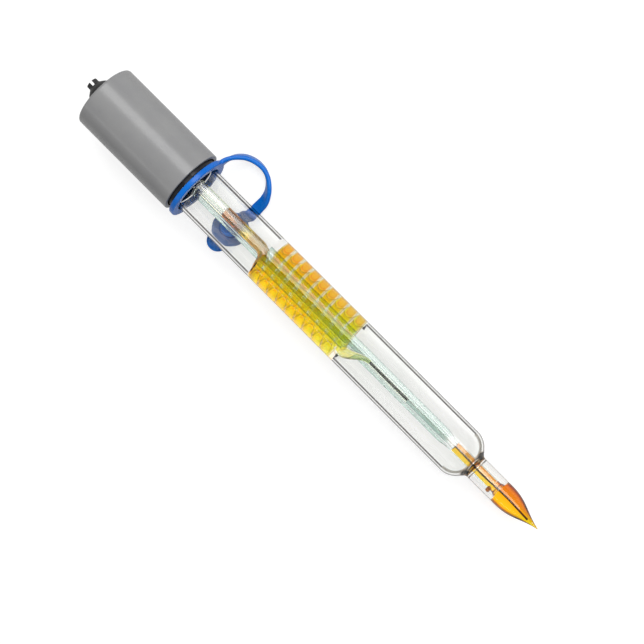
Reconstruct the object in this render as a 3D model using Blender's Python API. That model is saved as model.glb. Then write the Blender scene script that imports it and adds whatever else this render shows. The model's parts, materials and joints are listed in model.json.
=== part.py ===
"""Combination pH electrode with a spear tip, lying on a table.

Every piece is made in the electrode's own frame: +Z runs along the axis towards the cap, with
zero at the cap's lower rim, so that places on the glass have negative heights. An empty then
lays the whole electrode on the table. All sizes are in metres and all angles in degrees.
"""
import math

import bmesh
import bpy
from mathutils import Matrix, Vector

# Clearances
FIT_GAP = 0.0003            # between moulded pieces that touch
GLASS_GAP = 0.00015         # round a glass tube in its seat
BORE_GAP = 0.0001           # round a liquid or a wire in a glass bore

# Cap
CAP_LENGTH = 0.0289
CAP_WALL = 0.0009
CAP_TOP_THICKNESS = 0.0018
CAP_EDGE_ROUND = 0.0010
CAP_RIM_CHAMFER = 0.0002

# Strain relief, from its flange under the cap's top up to its slotted end
RELIEF_BASE_RADIUS = 0.0040
RELIEF_FLANGE_RADIUS = 0.0054
RELIEF_FLANGE_THICKNESS = 0.0012
RELIEF_SHOULDER_RADIUS = 0.00275
RELIEF_SHOULDER_HEIGHT = 0.0021
RELIEF_NECK_RADIUS = 0.00145
RELIEF_NECK_HEIGHT = 0.0031
RELIEF_HEIGHT = 0.0042
RELIEF_BORE_RADIUS = 0.0009
RELIEF_SLOT_WIDTH = 0.0006
RELIEF_SLOT_DEPTH = 0.0012

# Collar inside the cap's rim
COLLAR_WALL = 0.0007
COLLAR_HEIGHT = 0.0070
COLLAR_NOTCH_WIDTH = 0.0022
COLLAR_NOTCH_DEPTH = 0.0004
COLLAR_NOTCH_HEIGHT = 0.0030

# Ring, strap and plug of the fill hole's cover
RING_DROP = 0.0012
RING_THICKNESS = 0.0013
STRAP_WIDTH = 0.0030
STRAP_THICKNESS = 0.0011
STRAP_HUG_ANGLE = 43.0      # where the strap leaves the tube, from the loop's side
STRAP_HUG_SLANT = 0.0010
STRAP_START_INSET = 0.0006  # inside the ring's edge
PAD_RADIUS = 0.0043
TAB_RADIUS = 0.0026
TAB_OFFSET = 0.0036
PAD_FILLET_LENGTH = 0.0014
PAD_SKEW = 0.00045          # how far the strap's end lies below the plug's centre
PEG_LENGTH = 0.0019
PEG_ROUND = 0.0005
PLUG_ANGLE = 104.0          # round the axis, from the loop's side towards the back
FILL_HOLE_DROP = 0.0129
FILL_HOLE_RADIUS = 0.0025

# Outer glass tube
TUBE_RADIUS = 0.0060
TUBE_WALL = 0.0008
TUBE_TOP_RISE = 0.0100
INNER_GLASS_STEP = 0.0015   # how far the inner tubes stand out of it
SHOULDER_DROP = 0.0864
SHOULDER_ROUND = 0.0048
SHOULDER_SLOPE = 48.0
SHOULDER_FILLET = 0.0009
CHAMBER_END_LENGTH = 0.0045
CHAMBER_HOLE_GAP = 0.0005

# Neck tube and its ceramic junction
NECK_RADIUS = 0.0029
NECK_WALL = 0.0007
NECK_LENGTH = 0.0069
JUNCTION_RADIUS = 0.0005
JUNCTION_LENGTH = 0.0012
JUNCTION_RISE = 0.00193     # above the neck tube's lower end
JUNCTION_ANGLE = 232.0

# Inner stem and its wire
STEM_SHARE = 0.30           # of the outer tube's radius
STEM_LOWER_RADIUS = 0.0014
STEM_BORE_RADIUS = 0.00078
STEM_TAPER_RISE = 0.0052    # above the start of the shoulder
STEM_TAPER_LENGTH = 0.0030
SOLUTION_RISE = 0.0011      # above the start of the shoulder
WIRE_RADIUS = 0.00015
WIRE_END_RISE = 0.00025     # above the floor of the bulb's solution

# Spear bulb
BULB_STEP = 0.00003         # from the neck's surface in to the bulb's
BULB_LENGTH = 0.01235
BULB_WALL = 0.00035
BULB_NECK_LENGTH = 0.0018
BULB_SWELL_RADIUS = 0.0032
BULB_WAIST_RADIUS = 0.0009
BULB_FIRST_HANDLE = 0.0062
BULB_SECOND_HANDLE = 0.0073

# Reference tube and coil
REFERENCE_ANGLE = 284.0
REFERENCE_LEVEL_DROP = 0.0110
COIL_STEM_GAP = 0.00055
COIL_WALL_SHARE = 0.4815    # of the reference tube's radius
COIL_TURN_GAP = 0.00018
COIL_BEND_DROP = 0.0222
COIL_BEND_RADIUS = 0.0030
COIL_TURNS = 9
CAPILLARY_RADIUS = 0.00055
CAPILLARY_WALL = 0.00025
CAPILLARY_STEM_GAP = 0.00030
CAPILLARY_ANGLE = 266.0
WICK_TOP_DROP = 0.00035     # below the drawn-out end's last station
WICK_LENGTH = 0.0120
REFERENCE_WIRE_DIP = 0.0030

# Stopper, potting and the leads' ferrules
STOPPER_LENGTH = 0.0060
STOPPER_SINK = 0.0004
FERRULE_RADIUS = 0.00080
FERRULE_BORE_RADIUS = 0.00040
FERRULE_LENGTH = 0.0060
FERRULE_DROP = 0.0012
FERRULE_CRIMP_WIDTH = 0.0008

# Facets of the round pieces
CAP_SIDES = 64
TUBE_SIDES = 48
NECK_SIDES = 32
SMALL_SIDES = 16
COIL_SIDES = 8
COIL_STEPS = 14
SMOOTH_ANGLE = math.radians(35.0)

# Colours, as linear RGB, with roughness, metallic value and transmission
FINISHES = {
    "grey_plastic": ((0.32, 0.32, 0.32), 0.45, 0.0, 0.0),
    "black_plastic": ((0.022, 0.022, 0.022), 0.5, 0.0, 0.0),
    "blue_elastomer": ((0.006, 0.15, 0.62), 0.4, 0.0, 0.0),
    "clear_glass": ((0.95, 0.96, 0.95), 0.03, 0.0, 0.9),
    "green_glass": ((0.50, 0.68, 0.62), 0.04, 0.0, 0.8),
    "yellow_solution": ((0.90, 0.55, 0.01), 0.1, 0.0, 0.5),
    "orange_solution": ((0.80, 0.22, 0.01), 0.1, 0.0, 0.5),
    "platinum": ((0.28, 0.27, 0.25), 0.35, 1.0, 0.0),
    "tinned_copper": ((0.60, 0.58, 0.54), 0.35, 1.0, 0.0),
    "dark_fibre": ((0.035, 0.045, 0.030), 0.8, 0.0, 0.0),
    "brown_ceramic": ((0.28, 0.11, 0.03), 0.7, 0.0, 0.0),
    "grey_rubber": ((0.10, 0.10, 0.10), 0.7, 0.0, 0.0),
    "amber_resin": ((0.12, 0.09, 0.05), 0.5, 0.0, 0.0),
}

# The strap's free loop, station by station: across from the cap's side and behind the axis, then the
# share of the way from the ring down to the fill hole, then the direction of the strap's width.
# Across points to the loop's side, behind points away from the viewer and the last one down.
STRAP_PLACES = (
    (-STRAP_START_INSET, 0.0000),
    (0.00050, 0.0000),
    (0.00180, 0.0000),
    (0.00335, 0.0001),
    (0.00480, 0.0003),
    (0.00565, 0.0005),
    (0.00570, 0.0007),
    (0.00495, 0.0010),
    (0.00365, 0.0014),
    (0.00230, 0.0020),
    (0.00060, 0.0029),
    (-0.00130, 0.0040),
)
STRAP_FALL_SHARES = (0.0, 0.009, 0.050, 0.136, 0.285, 0.493, 0.706, 0.887, 1.023, 1.104, 1.149, 1.140)
STRAP_WIDTH_DIRECTIONS = (
    (0.00, -1.00, 0.00),
    (-0.05, -0.99, 0.03),
    (-0.15, -0.97, 0.12),
    (-0.25, -0.94, 0.22),
    (-0.30, -0.94, 0.18),
    (-0.27, -0.96, 0.05),
    (-0.08, -0.99, 0.00),
    (0.10, -0.98, 0.05),
    (0.22, -0.94, 0.18),
    (0.26, -0.85, 0.40),
    (0.18, -0.62, 0.74),
    (0.05, -0.35, 0.93),
)

# Stations of the coil's drawn-out end: angle round the axis, share of the way in from the coil's
# drum to the capillary, how far below the coil's last turn, and share of the drawing-out there.
TAIL_STATIONS = (
    (228.0, 0.095, 0.00055, 0.0),
    (222.0, 0.171, 0.00130, 0.040),
    (225.6, 0.267, 0.00220, 0.145),
    (234.0, 0.476, 0.00325, 0.385),
    (246.0, 0.714, 0.00445, 0.640),
    (258.0, 0.905, 0.00575, 0.855),
    (CAPILLARY_ANGLE, 1.0, 0.00705, 1.0),
)

RING_BORE_RADIUS = TUBE_RADIUS + FIT_GAP
COLLAR_RADIUS = RING_BORE_RADIUS + COLLAR_WALL
CAP_RADIUS = COLLAR_RADIUS + FIT_GAP + CAP_WALL
RING_FOOT_DROP = RING_DROP + RING_THICKNESS
RING_MIDDLE_DROP = RING_DROP + RING_THICKNESS / 2
TUBE_BORE_RADIUS = TUBE_RADIUS - TUBE_WALL
GLASS_TOP_RISE = TUBE_TOP_RISE + INNER_GLASS_STEP
STEM_RADIUS = TUBE_RADIUS * STEM_SHARE
COIL_TUBE_RADIUS = (TUBE_BORE_RADIUS - GLASS_GAP - STEM_RADIUS - COIL_STEM_GAP) / 2
COIL_BORE_RADIUS = COIL_TUBE_RADIUS * (1 - COIL_WALL_SHARE)
COIL_RADIUS = STEM_RADIUS + COIL_STEM_GAP + COIL_TUBE_RADIUS
COIL_PITCH = COIL_TUBE_RADIUS * 2 + COIL_TURN_GAP
REFERENCE_RADIUS = STEM_RADIUS + GLASS_GAP + COIL_TUBE_RADIUS
CAPILLARY_BORE_RADIUS = CAPILLARY_RADIUS - CAPILLARY_WALL
CAPILLARY_PLACE_RADIUS = STEM_RADIUS + CAPILLARY_STEM_GAP + CAPILLARY_RADIUS
PAD_MIDDLE_RADIUS = TUBE_RADIUS + FIT_GAP + STRAP_THICKNESS / 2
PEG_RADIUS = FILL_HOLE_RADIUS - FIT_GAP
BULB_RADIUS = NECK_RADIUS - BULB_STEP
FERRULE_HEIGHT = GLASS_TOP_RISE + FERRULE_DROP
RELIEF_FLANGE_TOP = CAP_LENGTH - CAP_TOP_THICKNESS - FIT_GAP
POTTING_TOP = RELIEF_FLANGE_TOP - RELIEF_FLANGE_THICKNESS - FIT_GAP


def clear_scene():
    """Remove every object that the file holds."""
    for thing in list(bpy.data.objects):
        bpy.data.objects.remove(thing, do_unlink=True)


def finish_material(name):
    """Return the material of one finish, made on first use."""
    known = bpy.data.materials.get(name)
    if known:
        return known
    colour, roughness, metallic, transmission = FINISHES[name]
    material = bpy.data.materials.new(name)
    material.use_nodes = True
    shader = material.node_tree.nodes["Principled BSDF"]
    shader.inputs["Base Color"].default_value = (*colour, 1.0)
    shader.inputs["Roughness"].default_value = roughness
    shader.inputs["Metallic"].default_value = metallic
    shader.inputs["Transmission Weight"].default_value = transmission
    material.diffuse_color = (*colour, 1.0)
    return material


def add_object(name, bm, finish, parent):
    """Turn a bmesh into a smooth-shaded object under the electrode's empty."""
    bmesh.ops.recalc_face_normals(bm, faces=bm.faces)
    mesh = bpy.data.meshes.new(name)
    bm.to_mesh(mesh)
    bm.free()
    mesh.materials.append(finish_material(finish))
    mesh.shade_smooth()
    mesh.set_sharp_from_angle(angle=SMOOTH_ANGLE)
    thing = bpy.data.objects.new(name, mesh)
    bpy.context.collection.objects.link(thing)
    thing.parent = parent
    return thing


def make_cutter(name, bm, parent):
    """Make a hidden object that other pieces are cut with."""
    cutter = add_object(name, bm, "grey_plastic", parent)
    cutter.hide_render = True
    cutter.display_type = 'WIRE'
    return cutter


def boolean(piece, tool, operation):
    """Add an exact Boolean to a piece."""
    modifier = piece.modifiers.new(operation.title() + "_" + tool.name, 'BOOLEAN')
    modifier.operation = operation
    modifier.solver = 'EXACT'
    modifier.object = tool


def cut(piece, cutter):
    """Cut one piece with a hidden cutter."""
    boolean(piece, cutter, 'DIFFERENCE')


def arc(centre, radius, start, end, steps):
    """Points of a circular arc in the (radius, height) plane, angles in degrees."""
    points = []
    for step in range(steps + 1):
        angle = math.radians(start + (end - start) * step / steps)
        points.append((centre[0] + radius * math.cos(angle), centre[1] + radius * math.sin(angle)))
    return points


def turned_mesh(outline, sides, first_angle):
    """Revolve a closed outline of (radius, height) points, given in order, about the axis.

    An outline that starts and ends on the axis closes there by itself.
    """
    bm = bmesh.new()
    ring = [bm.verts.new((radius, 0.0, height)) for radius, height in outline]
    on_axis = outline[0][0] == 0.0 and outline[-1][0] == 0.0
    edges = [bm.edges.new(pair) for pair in zip(ring, ring[1:])]
    if not on_axis:
        edges.append(bm.edges.new((ring[-1], ring[0])))
    bmesh.ops.spin(bm, geom=ring + edges, cent=(0, 0, 0), axis=(0, 0, 1), angle=math.tau, steps=sides,
                   use_merge=True)
    bmesh.ops.remove_doubles(bm, verts=bm.verts, dist=1e-7)
    bmesh.ops.rotate(bm, verts=bm.verts, matrix=Matrix.Rotation(first_angle, 3, 'Z'))
    return bm


def rod_mesh(radius, low, high, sides, first_angle=0.0):
    """A plain cylinder about the axis, between two heights."""
    return turned_mesh([(0.0, low), (radius, low), (radius, high), (0.0, high)], sides, first_angle)


def tube_mesh(outer, inner, low, high, sides, first_angle=0.0):
    """A plain tube about the axis, between two heights."""
    return turned_mesh([(inner, low), (outer, low), (outer, high), (inner, high)], sides, first_angle)


def box_mesh(size, centre, angle=0.0):
    """A box about a centre, turned about the axis."""
    bm = bmesh.new()
    bmesh.ops.create_cube(bm, size=1.0)
    bmesh.ops.scale(bm, vec=size, verts=bm.verts)
    bmesh.ops.translate(bm, vec=centre, verts=bm.verts)
    bmesh.ops.rotate(bm, verts=bm.verts, matrix=Matrix.Rotation(math.radians(angle), 3, 'Z'))
    return bm


def radial(angle, radius, height):
    """The point at an angle in degrees round the axis."""
    turn = math.radians(angle)
    return Vector((radius * math.cos(turn), radius * math.sin(turn), height))


def sideways(bm, angle, height):
    """Turn a mesh made along +Z so that it points out from the axis at an angle and a height."""
    tilt = Matrix.Rotation(math.radians(90.0), 4, 'Y')
    turn = Matrix.Rotation(math.radians(angle), 4, 'Z')
    bmesh.ops.transform(bm, matrix=Matrix.Translation((0, 0, height)) @ turn @ tilt, verts=bm.verts)
    return bm


def loft(rings, bores=()):
    """Skin closed rings of points in order, and open a bore into the first end.

    Bores has one ring for each of the first stations. With as many bores as rings the bore runs
    through, and with fewer it ends in a flat floor at its last ring.
    """
    bm = bmesh.new()

    def skin(loops):
        rows = [[bm.verts.new(point) for point in loop] for loop in loops]
        for low, high in zip(rows, rows[1:]):
            count = len(low)
            for index in range(count):
                after = (index + 1) % count
                bm.faces.new((low[index], low[after], high[after], high[index]))
        return rows

    def join(outside, inside):
        count = len(outside)
        for index in range(count):
            after = (index + 1) % count
            bm.faces.new((outside[index], outside[after], inside[after], inside[index]))

    outer = skin(rings)
    inner = skin(bores) if bores else []
    if inner:
        join(outer[0], inner[0])
    else:
        bm.faces.new(outer[0])
    if inner and len(bores) == len(rings):
        join(outer[-1], inner[-1])
    else:
        bm.faces.new(outer[-1])
        if inner:
            bm.faces.new(inner[-1])
    return bm


def frames_along(path):
    """Pairs of directions across a path, carried along it without twist."""
    frames = []
    across = Vector((0, 0, 1)).orthogonal()
    for index, point in enumerate(path):
        ahead = path[min(index + 1, len(path) - 1)]
        behind = path[max(index - 1, 0)]
        along = (ahead - behind).normalized()
        if index == 0:
            across = along.orthogonal()
        across = (across - along * across.dot(along)).normalized()
        frames.append((across, along.cross(across)))
    return frames


def round_sections(path, radii, sides):
    """Rings of points round a path, one radius for each station."""
    sections = []
    for point, radius, (first, second) in zip(path, radii, frames_along(path)):
        ring = []
        for side in range(sides):
            angle = math.tau * side / sides
            ring.append(point + first * (radius * math.cos(angle)) + second * (radius * math.sin(angle)))
        sections.append(ring)
    return sections


def smooth_path(points, steps):
    """Points of a Catmull-Rom curve through the given vectors."""
    padded = [points[0] * 2 - points[1], *points, points[-1] * 2 - points[-2]]
    curve = []
    for a, b, c, d in zip(padded, padded[1:], padded[2:], padded[3:]):
        for step in range(steps):
            t = step / steps
            curve.append(0.5 * (2 * b + (c - a) * t + (2 * a - 5 * b + 4 * c - d) * t ** 2
                                + (3 * b - a - 3 * c + d) * t ** 3))
    curve.append(points[-1].copy())
    return curve


def blend(start, end, share):
    """A smooth step from one number to another."""
    share = min(max(share, 0.0), 1.0)
    share = share * share * (3 - 2 * share)
    return start + (end - start) * share


def pad_half_width(reach):
    """Half the pad's width at a distance from the plug's centre, positive towards the tab."""
    lean = math.acos((PAD_RADIUS - TAB_RADIUS) / TAB_OFFSET)
    first = PAD_RADIUS * math.cos(lean)
    last = TAB_OFFSET + TAB_RADIUS * math.cos(lean)
    if reach > last:
        return math.sqrt(max(TAB_RADIUS ** 2 - (reach - TAB_OFFSET) ** 2, 0.0))
    if reach > first:
        share = (reach - first) / (last - first)
        return (PAD_RADIUS + (TAB_RADIUS - PAD_RADIUS) * share) * math.sin(lean)
    if reach > -PAD_RADIUS:
        disc = math.sqrt(PAD_RADIUS ** 2 - reach ** 2)
    else:
        disc = 0.0
    fillet_start = -PAD_RADIUS - PAD_FILLET_LENGTH / 2
    fillet_end = fillet_start + PAD_FILLET_LENGTH
    strap = blend(STRAP_WIDTH / 2, PAD_RADIUS * 0.72, (reach - fillet_start) / (fillet_end - fillet_start))
    return max(disc, min(strap, PAD_RADIUS))


def pad_station(reach):
    """Middle of the pad and its outward normal, at a distance from the plug's centre.

    Towards the tab the pad is flat. Towards the strap it hugs the tube and runs a little nearer the
    tip than the plug's centre.
    """
    skew = blend(0.0, PAD_SKEW, (-reach - FILL_HOLE_RADIUS / 2) / (PAD_RADIUS - FILL_HOLE_RADIUS / 2))
    height = -FILL_HOLE_DROP - skew
    if reach >= 0.0:
        normal = radial(PLUG_ANGLE, 1.0, 0.0)
        towards_tab = radial(PLUG_ANGLE + 90.0, 1.0, 0.0)
        return normal * PAD_MIDDLE_RADIUS + towards_tab * reach + Vector((0, 0, height)), normal
    angle = PLUG_ANGLE + math.degrees(reach / PAD_MIDDLE_RADIUS)
    return radial(angle, PAD_MIDDLE_RADIUS, height), radial(angle, 1.0, 0.0)


PLUG_EDGE_REACH = -PAD_RADIUS - PAD_FILLET_LENGTH / 2
HUG_LENGTH = math.radians(PLUG_ANGLE - STRAP_HUG_ANGLE) * PAD_MIDDLE_RADIUS


def ribbon_section(centre, normal, width_direction, half_width):
    """The eight corners of the ribbon's section, a flat bar with chamfered edges."""
    half = STRAP_THICKNESS / 2
    chamfer = half * 0.45
    across = width_direction.normalized()
    corners = ((-half_width, -half + chamfer), (-half_width + chamfer, -half),
               (half_width - chamfer, -half), (half_width, -half + chamfer),
               (half_width, half - chamfer), (half_width - chamfer, half),
               (-half_width + chamfer, half), (-half_width, half - chamfer))
    return [centre + across * u + normal * v for u, v in corners]


def strap_sections():
    """Sections of the strap from inside the ring to just short of the pad."""
    fall = FILL_HOLE_DROP - RING_MIDDLE_DROP
    places = [Vector((CAP_RADIUS + across, behind, -RING_MIDDLE_DROP - fall * share))
              for (across, behind), share in zip(STRAP_PLACES, STRAP_FALL_SHARES)]
    widths = [Vector((across, behind, -down)) for across, behind, down in STRAP_WIDTH_DIRECTIONS]
    hug_steps = 4
    for step in range(hug_steps):
        share = step / (hug_steps - 1)
        reach = -HUG_LENGTH + (HUG_LENGTH + PLUG_EDGE_REACH - FIT_GAP) * share
        place, _ = pad_station(reach)
        place.z -= blend(STRAP_HUG_SLANT, 0.0, share)
        places.append(place)
        widths.append(Vector((0, 0, -1)))
    path = smooth_path(places, 2)
    across = smooth_path(widths, 2)
    sections = []
    for index, (centre, width) in enumerate(zip(path[:-1], across)):
        along = (path[index + 1] - path[max(index - 1, 0)]).normalized()
        width = (width - along * width.dot(along)).normalized()
        sections.append(ribbon_section(centre, along.cross(width), width, STRAP_WIDTH / 2))
    _, normal = pad_station(PLUG_EDGE_REACH - FIT_GAP)
    sections.append(ribbon_section(path[-1], normal, Vector((0, 0, -1)), STRAP_WIDTH / 2))
    return sections


def pad_sections():
    """Sections of the plug's pad and tab, from the strap's side to the tab's end."""
    end = TAB_OFFSET + TAB_RADIUS
    reaches = [PLUG_EDGE_REACH, -PAD_RADIUS - PAD_FILLET_LENGTH * 0.2]
    reaches += [PAD_RADIUS * share for share in (-0.90, -0.72, -0.44, -0.19, 0.0)]
    reaches += [end * share for share in (0.19, 0.37, 0.58, 0.74, 0.87, 0.95, 0.992)]
    sections = []
    for reach in reaches:
        centre, normal = pad_station(reach)
        half_width = max(pad_half_width(reach), STRAP_THICKNESS / 2)
        sections.append(ribbon_section(centre, normal, Vector((0, 0, -1)), half_width))
    return sections


def flat_radius(radius, sides):
    """Distance from the axis to the middle of a facet."""
    return radius * math.cos(math.pi / sides)


def table_tilt():
    """Tilt of the axis when the ring and the glass shoulder both touch the table."""
    rise = flat_radius(CAP_RADIUS, CAP_SIDES) - flat_radius(TUBE_RADIUS, TUBE_SIDES)
    return math.atan2(rise, SHOULDER_DROP - RING_FOOT_DROP)


def table_roll():
    """Roll, from the back towards the loop, at which the strap's loop also meets the table."""
    tilt = table_tilt()
    ring_reach = flat_radius(CAP_RADIUS, CAP_SIDES)
    corners = [corner for section in strap_sections() for corner in section]

    def lowest(roll):
        heights = []
        for corner in corners:
            reach = corner.x * math.sin(roll) + corner.y * math.cos(roll)
            heights.append(ring_reach + (corner.z + RING_FOOT_DROP) * math.tan(tilt) - reach)
        return min(heights)

    low, high = 0.0, math.radians(60.0)
    for _ in range(40):
        middle = (low + high) / 2
        if lowest(middle) > 0.0:
            low = middle
        else:
            high = middle
    return low


TABLE_TILT = table_tilt()
TABLE_ROLL = table_roll()
DOWN_ANGLE = math.pi / 2 - TABLE_ROLL


def facet_phase(sides):
    """First angle of a turned piece that has a flat facet towards the table."""
    return DOWN_ANGLE - math.pi / sides


def make_cap(parent):
    """Grey cap: a cup with a hole for the strain relief in its top."""
    bore = CAP_RADIUS - CAP_WALL
    inner_top = CAP_LENGTH - CAP_TOP_THICKNESS
    hole = RELIEF_BASE_RADIUS + FIT_GAP
    outline = [(bore, 0.0), (CAP_RADIUS - CAP_RIM_CHAMFER, 0.0), (CAP_RADIUS, CAP_RIM_CHAMFER)]
    outline += arc((CAP_RADIUS - CAP_EDGE_ROUND, CAP_LENGTH - CAP_EDGE_ROUND), CAP_EDGE_ROUND, 0, 90, 5)
    outline += [(hole, CAP_LENGTH), (hole, inner_top), (bore, inner_top)]
    add_object("cap_shell", turned_mesh(outline, CAP_SIDES, facet_phase(CAP_SIDES)), "grey_plastic", parent)


def make_strain_relief(parent):
    """Black relief stub with a flange under the cap's top and a cross slot in its end."""
    flange_low = RELIEF_FLANGE_TOP - RELIEF_FLANGE_THICKNESS
    end = CAP_LENGTH + RELIEF_HEIGHT
    outline = [(RELIEF_BORE_RADIUS, flange_low), (RELIEF_FLANGE_RADIUS, flange_low),
               (RELIEF_FLANGE_RADIUS, RELIEF_FLANGE_TOP), (RELIEF_BASE_RADIUS, RELIEF_FLANGE_TOP),
               (RELIEF_BASE_RADIUS, CAP_LENGTH),
               (RELIEF_SHOULDER_RADIUS, CAP_LENGTH + RELIEF_SHOULDER_HEIGHT),
               (RELIEF_NECK_RADIUS, CAP_LENGTH + RELIEF_NECK_HEIGHT),
               (RELIEF_NECK_RADIUS, end), (RELIEF_BORE_RADIUS, end)]
    relief = add_object("strain_relief", turned_mesh(outline, NECK_SIDES, 0.0), "black_plastic", parent)
    for index, angle in enumerate((0.0, 90.0)):
        size = (RELIEF_NECK_RADIUS * 3, RELIEF_SLOT_WIDTH, RELIEF_SLOT_DEPTH * 2)
        slot = box_mesh(size, (0, 0, end), angle)
        cut(relief, make_cutter(f"relief_slot_cutter_{index}", slot, parent))


def make_collar(parent):
    """Black collar that centres the glass tube in the cap's rim."""
    low = FIT_GAP - RING_DROP
    mesh = tube_mesh(COLLAR_RADIUS, TUBE_RADIUS + FIT_GAP, low, COLLAR_HEIGHT, TUBE_SIDES,
                     facet_phase(TUBE_SIDES))
    collar = add_object("cap_insert", mesh, "black_plastic", parent)
    depth = COLLAR_NOTCH_DEPTH * 2
    notch = box_mesh((COLLAR_NOTCH_WIDTH, depth, COLLAR_NOTCH_HEIGHT),
                     (0, -COLLAR_RADIUS, low + COLLAR_NOTCH_HEIGHT / 2 - FIT_GAP))
    cut(collar, make_cutter("collar_notch_cutter", notch, parent))


def make_stopper(parent):
    """Bung in the tube's top that holds the stem and the reference tube."""
    high = TUBE_TOP_RISE - STOPPER_SINK
    mesh = rod_mesh(TUBE_BORE_RADIUS - GLASS_GAP, high - STOPPER_LENGTH, high, NECK_SIDES)
    stopper = add_object("tube_stopper", mesh, "grey_rubber", parent)
    margin = 0.002
    stem = rod_mesh(STEM_RADIUS + GLASS_GAP, high - STOPPER_LENGTH - margin, high + margin, TUBE_SIDES)
    cut(stopper, make_cutter("stopper_stem_cutter", stem, parent))
    side = rod_mesh(COIL_TUBE_RADIUS + GLASS_GAP, high - STOPPER_LENGTH - margin, high + margin, SMALL_SIDES)
    bmesh.ops.translate(side, vec=radial(REFERENCE_ANGLE, REFERENCE_RADIUS, 0.0), verts=side.verts)
    cut(stopper, make_cutter("stopper_reference_cutter", side, parent))


def make_potting(parent):
    """Cast resin that fills the cap above the tube, with blind bores for the two ferrules."""
    low = GLASS_TOP_RISE + FIT_GAP
    mesh = rod_mesh(COLLAR_RADIUS, low, POTTING_TOP, TUBE_SIDES, facet_phase(TUBE_SIDES))
    potting = add_object("potting", mesh, "amber_resin", parent)
    top = FERRULE_HEIGHT + FERRULE_LENGTH + FIT_GAP
    for name, place in (("signal", Vector((0, 0, 0))),
                        ("reference", radial(REFERENCE_ANGLE, REFERENCE_RADIUS, 0.0))):
        bore = rod_mesh(FERRULE_RADIUS + FIT_GAP, low - 0.001, top, SMALL_SIDES)
        bmesh.ops.translate(bore, vec=place, verts=bore.verts)
        cut(potting, make_cutter(f"potting_{name}_cutter", bore, parent))


def make_ferrule(name, place, parent):
    """Crimp ferrule: a sleeve with a waist pressed into it."""
    low = FERRULE_HEIGHT
    high = low + FERRULE_LENGTH
    middle = (low + high) / 2
    waist = FERRULE_RADIUS * 0.85
    outline = [(FERRULE_BORE_RADIUS, low), (FERRULE_RADIUS, low),
               (FERRULE_RADIUS, middle - FERRULE_CRIMP_WIDTH), (waist, middle - FERRULE_CRIMP_WIDTH / 2),
               (waist, middle + FERRULE_CRIMP_WIDTH / 2), (FERRULE_RADIUS, middle + FERRULE_CRIMP_WIDTH),
               (FERRULE_RADIUS, high), (FERRULE_BORE_RADIUS, high)]
    mesh = turned_mesh(outline, SMALL_SIDES, 0.0)
    bmesh.ops.translate(mesh, vec=place, verts=mesh.verts)
    add_object(name, mesh, "tinned_copper", parent)


def shoulder_outline():
    """Outside of the glass shoulder, from the tube's wall down to the neck joint."""
    crown = arc((TUBE_RADIUS - SHOULDER_ROUND, -SHOULDER_DROP), SHOULDER_ROUND, 0, -SHOULDER_SLOPE, 6)
    slope = math.radians(SHOULDER_SLOPE)
    fillet_start = NECK_RADIUS + SHOULDER_FILLET * (1 - math.cos(slope))
    run = (crown[-1][0] - fillet_start) / math.tan(slope)
    height = crown[-1][1] - run
    centre = (NECK_RADIUS + SHOULDER_FILLET, height - SHOULDER_FILLET * math.sin(slope))
    return crown + arc(centre, SHOULDER_FILLET, 180 - SHOULDER_SLOPE, 180, 3)


def neck_joint_drop():
    """Distance from the rim down to the seam between the shoulder and the neck."""
    return -shoulder_outline()[-1][1]


def make_outer_tube(parent):
    """Clear outer tube with a rounded lower end, a hole for the stem and the fill hole."""
    outside = shoulder_outline()
    joint = outside[-1][1]
    hole = STEM_LOWER_RADIUS + CHAMBER_HOLE_GAP
    outline = [(TUBE_BORE_RADIUS, TUBE_TOP_RISE), (TUBE_RADIUS, TUBE_TOP_RISE)] + outside
    outline.append((hole, joint))
    last = math.degrees(math.acos(hole / TUBE_BORE_RADIUS))
    for step in range(7):
        angle = math.radians(last * (1 - step / 6))
        outline.append((TUBE_BORE_RADIUS * math.cos(angle),
                        -SHOULDER_DROP - CHAMBER_END_LENGTH * math.sin(angle)))
    tube = add_object("outer_tube", turned_mesh(outline, TUBE_SIDES, facet_phase(TUBE_SIDES)), "clear_glass",
                      parent)
    drill = rod_mesh(FILL_HOLE_RADIUS, TUBE_BORE_RADIUS / 2, TUBE_RADIUS * 1.5, TUBE_SIDES // 2)
    cut(tube, make_cutter("fill_hole_cutter", sideways(drill, PLUG_ANGLE, -FILL_HOLE_DROP), parent))


def neck_bore_radius():
    """Radius of the neck tube's bore."""
    return NECK_RADIUS - NECK_WALL


def neck_end():
    """Height of the neck tube's lower end."""
    return -neck_joint_drop() - FIT_GAP - NECK_LENGTH


def junction_height():
    """Height of the ceramic junction in the neck's wall."""
    return neck_end() + JUNCTION_RISE


def make_neck(parent):
    """Narrow neck tube with a hole for the ceramic junction, and the junction in it."""
    high = -neck_joint_drop() - FIT_GAP
    mesh = tube_mesh(NECK_RADIUS, neck_bore_radius(), high - NECK_LENGTH, high, NECK_SIDES,
                     facet_phase(NECK_SIDES))
    neck = add_object("neck_tube", mesh, "clear_glass", parent)
    drill = rod_mesh(JUNCTION_RADIUS + GLASS_GAP, neck_bore_radius() / 2, NECK_RADIUS * 1.5, SMALL_SIDES)
    cut(neck, make_cutter("junction_hole_cutter", sideways(drill, JUNCTION_ANGLE, junction_height()), parent))
    outer_end = flat_radius(NECK_RADIUS, NECK_SIDES)
    pin = rod_mesh(JUNCTION_RADIUS, outer_end - JUNCTION_LENGTH, outer_end, SMALL_SIDES)
    add_object("outer_junction", sideways(pin, JUNCTION_ANGLE, junction_height()), "brown_ceramic", parent)


def bulb_base():
    """Height of the spear's base, just under the neck tube."""
    return neck_end() - FIT_GAP


def stem_end():
    """Height of the stem's lower end, where the bulb's throat begins."""
    return bulb_base() + BULB_NECK_LENGTH + FIT_GAP


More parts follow.
